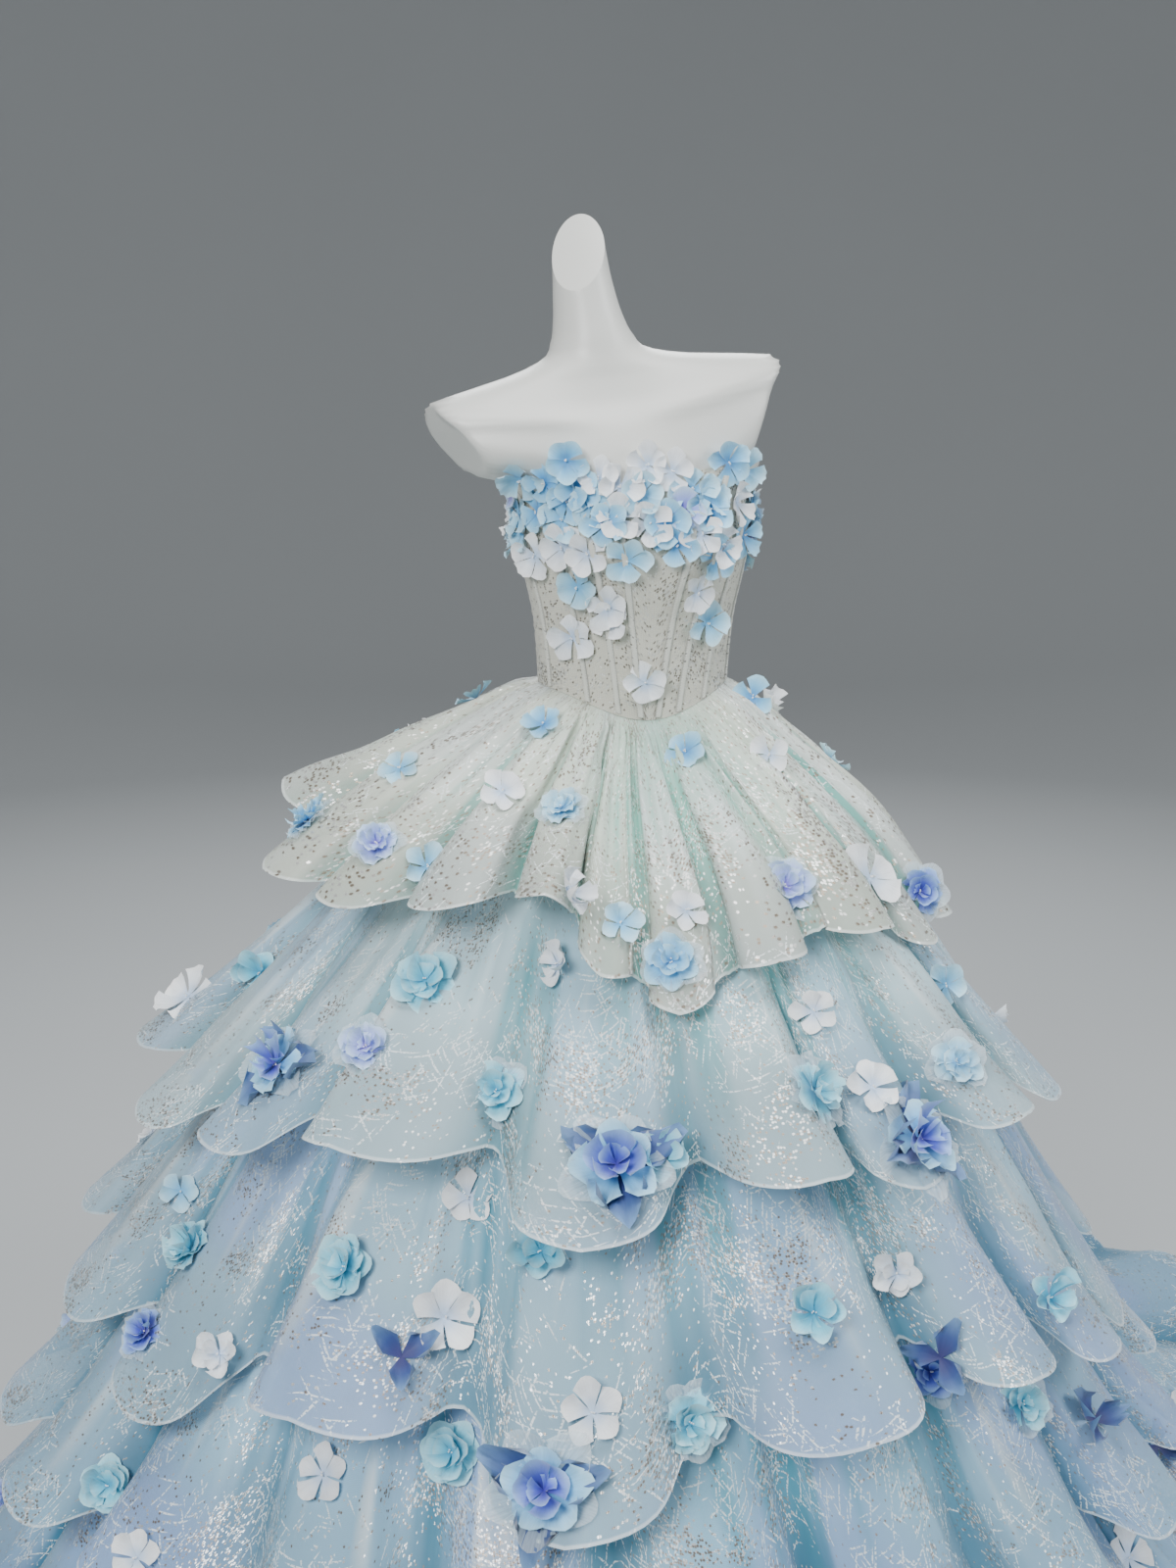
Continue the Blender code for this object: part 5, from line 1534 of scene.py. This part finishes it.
@dataclass
class FlowerMesh:
    """Flowers gathered for one piece: corner points, faces, petal UVs, dyes and finishes."""

    points: list[Array] = field(default_factory=list)
    quads: list[Array] = field(default_factory=list)
    uvs: list[Array] = field(default_factory=list)
    dyes: list[Array] = field(default_factory=list)
    finish: list[Array] = field(default_factory=list)
    count: int = 0

    def add(self, grids: Array, uv: Array, dye: Array, finish: int) -> None:
        """Add a stack of equal grids, one for each petal.

        Args:
            grids: Petals x rows x columns x 3.
            uv: Rows x columns x 2.
            dye: Petals x rows x columns x 3.
            finish: 0 silk, 1 organza, 2 bead.
        """
        petals, rows, columns = grids.shape[:3]
        index = np.arange(rows * columns).reshape(rows, columns)
        corners = (index[:-1, :-1], index[:-1, 1:], index[1:, 1:], index[1:, :-1])
        first = np.arange(petals)[:, None, None] * rows * columns
        quads = np.stack(corners, axis=-1).reshape(-1, 4)[None] + first
        self.points.append(grids.reshape(-1, 3))
        self.quads.append(quads.reshape(-1, 4) + self.count)
        self.uvs.append(np.broadcast_to(uv, (petals, rows, columns, 2)).reshape(-1, 2))
        self.dyes.append(dye.reshape(-1, 3))
        self.finish.append(np.full(len(self.quads[-1]), finish))
        self.count += petals * rows * columns

    def mesh(self, name: str, materials: Sequence[Material]) -> bpy.types.Mesh:
        """All the flowers as one mesh."""
        made = bpy.data.meshes.new(name)
        quads = np.concatenate(self.quads)
        made.from_pydata(np.concatenate(self.points).tolist(), [], quads.tolist())
        layer = made.uv_layers.new(name="petal")
        layer.data.foreach_set("uv", np.concatenate(self.uvs)[quads.ravel()].astype(np.float32).ravel())
        store = made.attributes.new("dye", "FLOAT_COLOR", "POINT")
        dyes = np.concatenate(self.dyes)
        dyes = np.concatenate([dyes, np.ones((len(dyes), 1))], axis=1)
        store.data.foreach_set("color", dyes.astype(np.float32).ravel())
        for material in materials:
            made.materials.append(material)
        made.polygons.foreach_set("material_index", np.concatenate(self.finish).astype(np.int32))
        made.shade_smooth()
        return made


@dataclass
class FlowerMaker:
    """Makes flowers from rows of petals and sets them on the cloth."""

    materials: tuple[Material, Material, Material]
    rows: int = 5
    columns: int = 7
    made: int = 0
    meshes: dict[str, FlowerMesh] = field(default_factory=dict)

    def petals(self, row: PetalRow, radius: float, tone: Tone, seed: float) -> tuple[Array, Array, Array]:
        """A row of petals in the flower's own plane.

        A point goes out along the petal by its share s, less the blunting times the square of its
        place t across; its half width grows as a quarter sine of s, and of half a turn where the tip
        is pointed; its height is the cup, the sides' curl and the frill's sine along the edge.

        Args:
            row: The row's shape.
            radius: The flower's radius.
            tone: The row's dye.
            seed: Makes each flower's petals uneven in their own way.

        Returns:
            The points, the UV and the dye of every petal.
        """
        s = np.linspace(0.0, 1.0, self.rows)[None, :, None]
        t = np.linspace(-1.0, 1.0, self.columns)[None, None, :]
        uneven = scatter(seed, row.count * 4).reshape(4, row.count, 1, 1)
        reach = radius * row.reach * (0.86 + 0.26 * uneven[0])
        along = reach * s * (1.0 - row.blunt * t * t * s * s)
        pointed = max(0.0, row.blunt - 0.6) / 0.4
        swell = np.sin(np.pi / 2.0 * s**1.25) * (1.0 - pointed) + pointed * np.sin(np.pi * s**0.85)
        half = radius * row.width * (0.08 + 0.92 * swell) * (0.9 + 0.2 * uneven[1])
        across = half * t
        cup = row.cup * radius * (0.2 + 1.6 * uneven[2])
        wave = row.frill * radius * np.sin(3.2 * np.pi * t + 6.3 * uneven[3]) * s * s
        high = row.lift * radius + cup * s**1.6 + row.curl * radius * t * t * s + wave
        high = high - 0.06 * radius * s**4 * (1.0 + t)
        place = np.arange(row.count)[:, None, None] + 0.30 * (uneven[1] - 0.5)
        turn = 2.0 * np.pi * place / row.count + 6.0 * seed
        x = along * np.cos(turn) - across * np.sin(turn)
        y = along * np.sin(turn) + across * np.cos(turn)
        points = np.stack(np.broadcast_arrays(x, y, high), axis=-1)
        uv = np.stack(np.broadcast_arrays(t[0] * 0.5 + 0.5, s[0]), axis=-1)
        foot, middle, edge = (np.array(colour) for colour in tone.value)
        rim = np.maximum(smooth_step(s, 0.55, 1.0), 0.6 * smooth_step(np.abs(t), 0.6, 1.0) * s)[..., None]
        dye = foot + (middle - foot) * smooth_step(s, 0.08, 0.55)[..., None]
        dye = dye + (edge - dye) * rim
        dye = dye * (0.90 + 0.20 * uneven[3][..., None])
        return points, uv, np.clip(np.broadcast_to(dye, points.shape), 0.0, 1.0)

    def set_flower(self, host: str, place: Vector, facing: Vector, kind: Kind, tone: Tone,
                   width: float) -> None:
        """Make one flower and lay it on the cloth.

        Args:
            host: The piece it belongs to.
            place: Point of the cloth.
            facing: Direction the flower looks in.
            kind: Its make.
            tone: Its dye.
            width: Its width across the main row.
        """
        self.made += 1
        seed = self.made * 0.618
        spare = scatter(seed + 0.5, 4)
        facing = Vector(facing).normalized()
        side = facing.orthogonal().normalized()
        frame_axes = np.array([side, facing.cross(side), facing])
        base = np.array(place) + np.array(facing) * 0.0012
        target = self.meshes.setdefault(host, FlowerMesh())
        radius = width / 2.0 * (0.94 + 0.12 * float(spare[0]))
        for number, row in enumerate(ROWS[kind]):
            if kind is Kind.ROUND and spare[1] > 0.72:
                row = PetalRow(4, row.reach, row.width * 1.14, row.blunt, row.cup, row.curl, row.frill)
            points, uv, dye = self.petals(row, radius, row.tone or tone, seed + 0.37 * number)
            target.add(points @ frame_axes + base, uv, dye, 1 if row.sheer else 0)
        if kind is not Kind.SPRIG:
            self.add_beads(target, radius, frame_axes, base, tone, seed)

    def add_beads(self, target: FlowerMesh, radius: float, axes: Array, base: Array, tone: Tone,
                  seed: float) -> None:
        """Three small beads at the heart: spheres from sines and cosines of two angles."""
        lat = np.linspace(0.0, np.pi, 5)[None, :, None]
        lon = np.linspace(0.0, 2.0 * np.pi, 7)[None, None, :]
        ring = np.sin(lat)
        ball = np.stack(np.broadcast_arrays(ring * np.cos(lon), ring * np.sin(lon), np.cos(lat)), -1)
        spots = scatter(seed + 0.9, 9).reshape(3, 1, 1, 3) - 0.5
        centres = spots * np.array((0.13, 0.13, 0.04)) * radius + np.array((0.0, 0.0, 0.13 * radius + 0.0012))
        points = centres + ball * 0.0011
        colour = np.broadcast_to(np.array(tone.value[2]) * 0.5 + 0.45, points.shape)
        target.add(points @ axes + base, np.zeros((5, 7, 2)), colour, 2)

    def finish(self) -> dict[str, list[bpy.types.Object]]:
        """Turn every gathered group into a piece, and return them by host."""
        made: dict[str, list[bpy.types.Object]] = {}
        for host, flowers in self.meshes.items():
            own = host in CARRIED_BLOOMS
            name = "bloom_" + host if own else "blooms_on_" + host
            made[host] = [piece(name, flowers.mesh(name, self.materials), [host] if own else [])]
        return made


@dataclass
class Garden:
    """Places the flowers: those of the CAD, those that the view shows, and others round the back."""

    maker: FlowerMaker
    trees: dict[str, BVHTree]
    torso: BVHTree
    camera: Vector
    forward: Vector
    right: Vector
    up: Vector
    taken: list[Vector] = field(default_factory=list)

    def cast(self, origin: Vector, way: Vector) -> Optional[tuple[str, Vector, Vector]]:
        """The nearest cloth along a ray: its piece, the point and the surface's direction there."""
        best = None
        for name, tree in self.trees.items():
            place, normal, _, reach = tree.ray_cast(origin, way)
            if place is not None and (best is None or reach < best[0]):
                best = (reach, name, place, normal)
        return None if best is None else best[1:]

    def free(self, place: Vector, room: float) -> bool:
        """Whether no flower lies within the given room."""
        return all((place - other).length > room for other in self.taken)

    def outward(self, normal: Vector, way: Vector, share: float) -> Vector:
        """The surface's direction, turned to face against a ray and leaned towards its start."""
        normal = normal if normal.dot(way) < 0.0 else -normal
        return (normal * (1.0 - share) - way * share).normalized()

    def carried(self, hosts: dict[str, str]) -> None:
        """Set a flower where each CAD flower is, on the cloth below it."""
        for node, (kind, tone, width) in CARRIED_BLOOMS.items():
            low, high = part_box(node)
            centre = (low + high) / 2.0
            out = Vector((centre.x, centre.y, 0.0)).normalized()
            start = centre + (out + Vector((0.0, 0.0, 0.4))).normalized() * 0.12
            hit = self.cast(start, (centre - start).normalized())
            if hit is None:
                LOG.warning("%s found no cloth", node)
                continue
            name, place, normal = hit
            facing = self.outward(normal, (centre - start).normalized(), 0.25)
            self.maker.set_flower(node, place, facing, kind, tone, width)
            self.taken.append(place)
            hosts[node] = name

    def seen(self, flowers: Sequence[Bloom], near: float) -> None:
        """Set the flowers that the photograph's view shows, each on the cloth its sight line meets."""
        for bloom in flowers:
            way = self.forward + self.right * ((bloom.across - FRAME_CENTRE[0]) / FOCAL_PIXELS)
            way = (way + self.up * ((FRAME_CENTRE[1] - bloom.down) / FOCAL_PIXELS)).normalized()
            hit = self.cast(self.camera, way)
            skin = self.torso.ray_cast(self.camera, way)
            if hit is None and skin[0] is not None and near < 0.02:
                hit = ("bodice_front_centre", skin[0] - way * 0.004, skin[1])
            if hit is None or not self.free(hit[1], near):
                LOG.info("flower at %s, %s left out", bloom.across, bloom.down)
                continue
            name, place, normal = hit
            facing = self.outward(normal, way, 0.30)
            self.maker.set_flower(name, place, facing, bloom.kind, bloom.tone, bloom.width)
            self.taken.append(place)

    def scattered(self, flounces: Sequence[Flounce], each: int) -> None:
        """Others round the sides and back of the skirt, at repeatable uneven places."""
        kinds = (Kind.ROUND, Kind.ROSE, Kind.DOUBLE, Kind.ROUND, Kind.SIDE, Kind.ROUND, Kind.ORCHID)
        tones = (Tone.WHITE, Tone.AQUA, Tone.LILAC, Tone.SKY, Tone.WHITE, Tone.PALE, Tone.VIOLET)
        for number, flounce in enumerate(flounces):
            spots = scatter(3.1 * number + 1.0, each * 3).reshape(3, each)
            for count in range(each):
                turn = spots[0, count] * flounce.tier.count
                down = 0.25 + 0.65 * spots[1, count]
                place = flounce.point(np.array(turn), np.array(down)).reshape(3)
                bearing = float(np.degrees(np.arctan2(place[0], -place[1])))
                if -100.0 < bearing < 88.0:
                    continue
                angle = math.radians(bearing)
                out = Vector((math.sin(angle), -math.cos(angle), 0.35)).normalized()
                hit = self.cast(Vector(place) + out * 0.30, -out)
                if hit is None or not self.free(hit[1], 0.075) or not hit[0].startswith("flounce"):
                    continue
                pick = int(spots[2, count] * 997) % len(kinds)
                width = 0.046 if kinds[pick] in (Kind.ROUND, Kind.SIDE) else 0.066
                facing = self.outward(hit[2], -out, 0.2)
                self.maker.set_flower(hit[0], hit[1], facing, kinds[pick], tones[pick], width)
                self.taken.append(hit[1])

    def neckline(self, body: BodyShape, count: int) -> None:
        """The dense band along the bodice's upper edge, continued round the sides and back."""
        spots = scatter(7.7, count * 3).reshape(3, count)
        tones = (Tone.SKY, Tone.PALE, Tone.WHITE, Tone.LILAC, Tone.WHITE)
        for number in range(count):
            bearing = 72.0 + 216.0 * (number + 0.5 * spots[0, number]) / count
            up = 1.0 - 0.42 * spots[1, number] ** 1.6
            place = Vector(body.bodice(np.array(bearing), np.array(up), 0.001).reshape(3))
            angle = math.radians(bearing)
            out = Vector((math.sin(angle), -math.cos(angle), 0.12)).normalized()
            hit = self.cast(place + out * 0.05, -out)
            if hit is None or not self.free(hit[1], 0.017):
                continue
            tone = tones[int(spots[2, number] * 997) % len(tones)]
            self.maker.set_flower(hit[0], hit[1], out, Kind.ROUND, tone, 0.044)
            self.taken.append(hit[1])


@dataclass(frozen=True)
class Lamp:
    """A soft square lamp: where it is, its side, its power, and its colour."""

    place: tuple[float, float, float]
    side: float
    power: float
    colour: Colour = (1.0, 1.0, 1.0)


@dataclass
class Studio:
    """Pale floor, soft lamps and the camera at the photograph's angle."""

    aim: Vector = field(default_factory=lambda: Vector((0.0, 0.0, 0.9)))
    pitch: float = 12.7
    azimuth: float = -12.0
    camera_place: tuple[float, float, float] = (-0.506, -2.141, 1.45)
    lamps: tuple[Lamp, ...] = (
        Lamp((-2.4, -3.2, 3.2), 1.6, 185.0),
        Lamp((3.4, -1.6, 2.6), 1.6, 90.0, (0.95, 0.98, 1.0)),
        Lamp((0.6, 3.0, 3.2), 2.0, 90.0, (0.95, 0.98, 1.0)),
        Lamp((0.2, -0.6, 4.0), 2.0, 95.0),
    )

    def axes(self) -> tuple[Vector, Vector, Vector]:
        """The camera's forward, right and up directions."""
        turn, tip = math.radians(-self.azimuth), math.radians(self.pitch)
        forward = Vector((math.sin(turn) * math.cos(tip), math.cos(turn) * math.cos(tip), -math.sin(tip)))
        right = Vector((math.cos(turn), -math.sin(turn), 0.0))
        return forward, right, right.cross(forward)

    def build(self, floor_finish: Material) -> None:
        """Make the floor, the lamps, the world's light and the camera."""
        scene = bpy.context.scene
        # The floor is flat to 4.6 m, then turns up into a round backdrop along a quarter ellipse
        share = np.linspace(0.0, 1.0, 25)[:, None]
        turn = np.radians(np.arange(96) * 360.0 / 96)[None, :]
        tip = np.pi / 2.0 * smooth_step(share, 0.15, 1.0)
        reach = np.where(share < 0.15, 4.6 * share / 0.15, 4.6 + 3.4 * np.sin(tip))
        rise = 4.2 * (1.0 - np.cos(tip)) - 0.0005
        bowl = np.stack(np.broadcast_arrays(reach * np.sin(turn), -reach * np.cos(turn), rise), axis=-1)
        mesh = Grid(bowl[:, ::-1], ring=True).mesh("studio_floor")
        mesh.materials.append(floor_finish)
        floor = bpy.data.objects.new("studio_floor", mesh)
        scene.collection.objects.link(floor)
        for number, lamp in enumerate(self.lamps, 1):
            light = bpy.data.lights.new(f"soft_lamp_{number}", "AREA")
            light.shape, light.size, light.energy, light.color = "SQUARE", lamp.side, lamp.power, lamp.colour
            holder = bpy.data.objects.new(light.name, light)
            holder.location = lamp.place
            holder.rotation_euler = (self.aim - holder.location).to_track_quat("-Z", "Y").to_euler()
            scene.collection.objects.link(holder)
        world = bpy.data.worlds.new("soft_studio")
        world.use_nodes = True
        world.node_tree.nodes["Background"].inputs["Color"].default_value = (0.62, 0.65, 0.68, 1.0)
        world.node_tree.nodes["Background"].inputs["Strength"].default_value = 0.24
        scene.world = world
        camera = bpy.data.cameras.new("photo_view")
        camera.lens, camera.sensor_width, camera.clip_end = 45.0, 36.0, 200.0
        holder = bpy.data.objects.new("photo_view", camera)
        holder.location = self.camera_place
        holder.rotation_euler = (math.radians(90.0 - self.pitch), 0.0, math.radians(self.azimuth))
        scene.collection.objects.link(holder)
        scene.camera = holder


@dataclass(frozen=True)
class FloorFinish:
    """A pale, nearly even studio floor."""

    base: Colour = (0.44, 0.46, 0.47)

    def build(self, effects: SharedEffects) -> Material:
        """Make the material."""
        made, sketch, shader = start_material("studio_floor_paint")
        place = sketch.add("ShaderNodeTexCoord").outputs["Object"]
        mottle = sketch.group(effects.mottle, {"Vector": place, "Size": 1.2, "Depth": 0.04}).outputs["Value"]
        sketch.fill(shader, {"Base Color": sketch.shaded(self.base, mottle), "Roughness": 0.7})
        return made


# Each organza: its name, crest colour under painted light, valley colour under painted shade, heart colour and
# drift colour
ORGANZA = (
    OrganzaFinish("organza_mint", (0.64, 0.69, 0.60), (0.15, 0.42, 0.37), (0.18, 0.54, 0.42), (0.62, 0.68, 0.65),
                  foil_cover=0.42, even_glitter=0.30, grain=0.0042),
    OrganzaFinish("organza_pale", (0.46, 0.62, 0.68), (0.10, 0.33, 0.41), (0.13, 0.44, 0.43), (0.38, 0.56, 0.71)),
    OrganzaFinish("organza_light", (0.37, 0.57, 0.70), (0.07, 0.28, 0.41), (0.10, 0.40, 0.47), (0.34, 0.50, 0.75)),
    OrganzaFinish("organza_blue", (0.31, 0.54, 0.71), (0.05, 0.25, 0.39), (0.08, 0.36, 0.46), (0.31, 0.47, 0.75)),
    OrganzaFinish("organza_deep", (0.27, 0.50, 0.70), (0.04, 0.22, 0.37), (0.06, 0.32, 0.44), (0.27, 0.45, 0.72)),
)
SLOTS = ("flounce_mint", "flounce_pale", "flounce_pale", "flounce_blue", "flounce_blue")


def main() -> None:
    """Build the gown's sub-assemblies in order, then its flowers and the studio."""
    logging.basicConfig(level=logging.INFO, format="%(message)s")
    effects = SharedEffects()
    shell = HardFinish("form_shell", (0.66, 0.67, 0.64), (0.61, 0.62, 0.59), 0.42, coat=0.15).build(effects)
    steel = HardFinish(
        "brushed_steel", (0.56, 0.57, 0.58), (0.48, 0.49, 0.50), 0.34, 1.0, brushed=True,
    ).build(effects)
    body = BodyShape()
    skirt = SkirtShape(body)
    torso = DressForm(body).build(shell, steel)

    bodice = Bodice(body)
    bodice.build(
        TulleFinish("ivory_tulle", (0.67, 0.66, 0.57), (0.50, 0.51, 0.45), 0.5, glitter_cover=0.85).build(effects),
        TulleFinish("ivory_channel", (0.68, 0.69, 0.62), (0.60, 0.61, 0.56), 0.2, 0.14, 0.36, 0.4).build(effects),
        TulleFinish("zip_tape_weave", (0.74, 0.74, 0.69), (0.70, 0.70, 0.66), 0.1, 0.0, 0.6, 0.8).build(effects),
        steel,
    )
    lining = Underskirt(skirt)
    lining.build(SatinFinish("aqua_satin", (0.40, 0.58, 0.55), (0.16, 0.40, 0.48)).build(effects))
    flounces = [Flounce(tier, skirt, tier is TIERS[-1]) for tier in TIERS]
    for flounce, finish, slot in zip(flounces, ORGANZA, SLOTS):
        flounce.build(finish.build(effects), slot)

    studio = Studio()
    studio.build(FloorFinish().build(effects))
    forward, right, up = studio.axes()
    maker = FlowerMaker((
        PetalFinish("petal_silk", 1.0, 0.30).build(effects),
        PetalFinish("petal_organza", 0.42, 0.5).build(effects),
        BeadFinish("pearl", (0.86, 0.88, 0.90)).build(effects),
    ))
    trees = {node: grid.tree() for part in (bodice, lining, *flounces) for node, grid in part.grids.items()}
    garden = Garden(maker, trees, torso, Vector(studio.camera_place), forward, right, up)
    carriers: dict[str, str] = {}
    garden.carried(carriers)
    garden.seen(SKIRT_BLOOMS, 0.035)
    garden.seen(BODICE_BLOOMS, 0.012)
    garden.scattered(flounces, 60)
    garden.neckline(body, 46)
    made = maker.finish()
    for node, host in carriers.items():
        made.setdefault(host, []).extend(made[node])
    bodice.declare(made)
    lining.declare()
    for flounce in flounces:
        flounce.declare(made)
    LOG.info("%d flowers", maker.made)


if __name__ == "__main__":
    main()
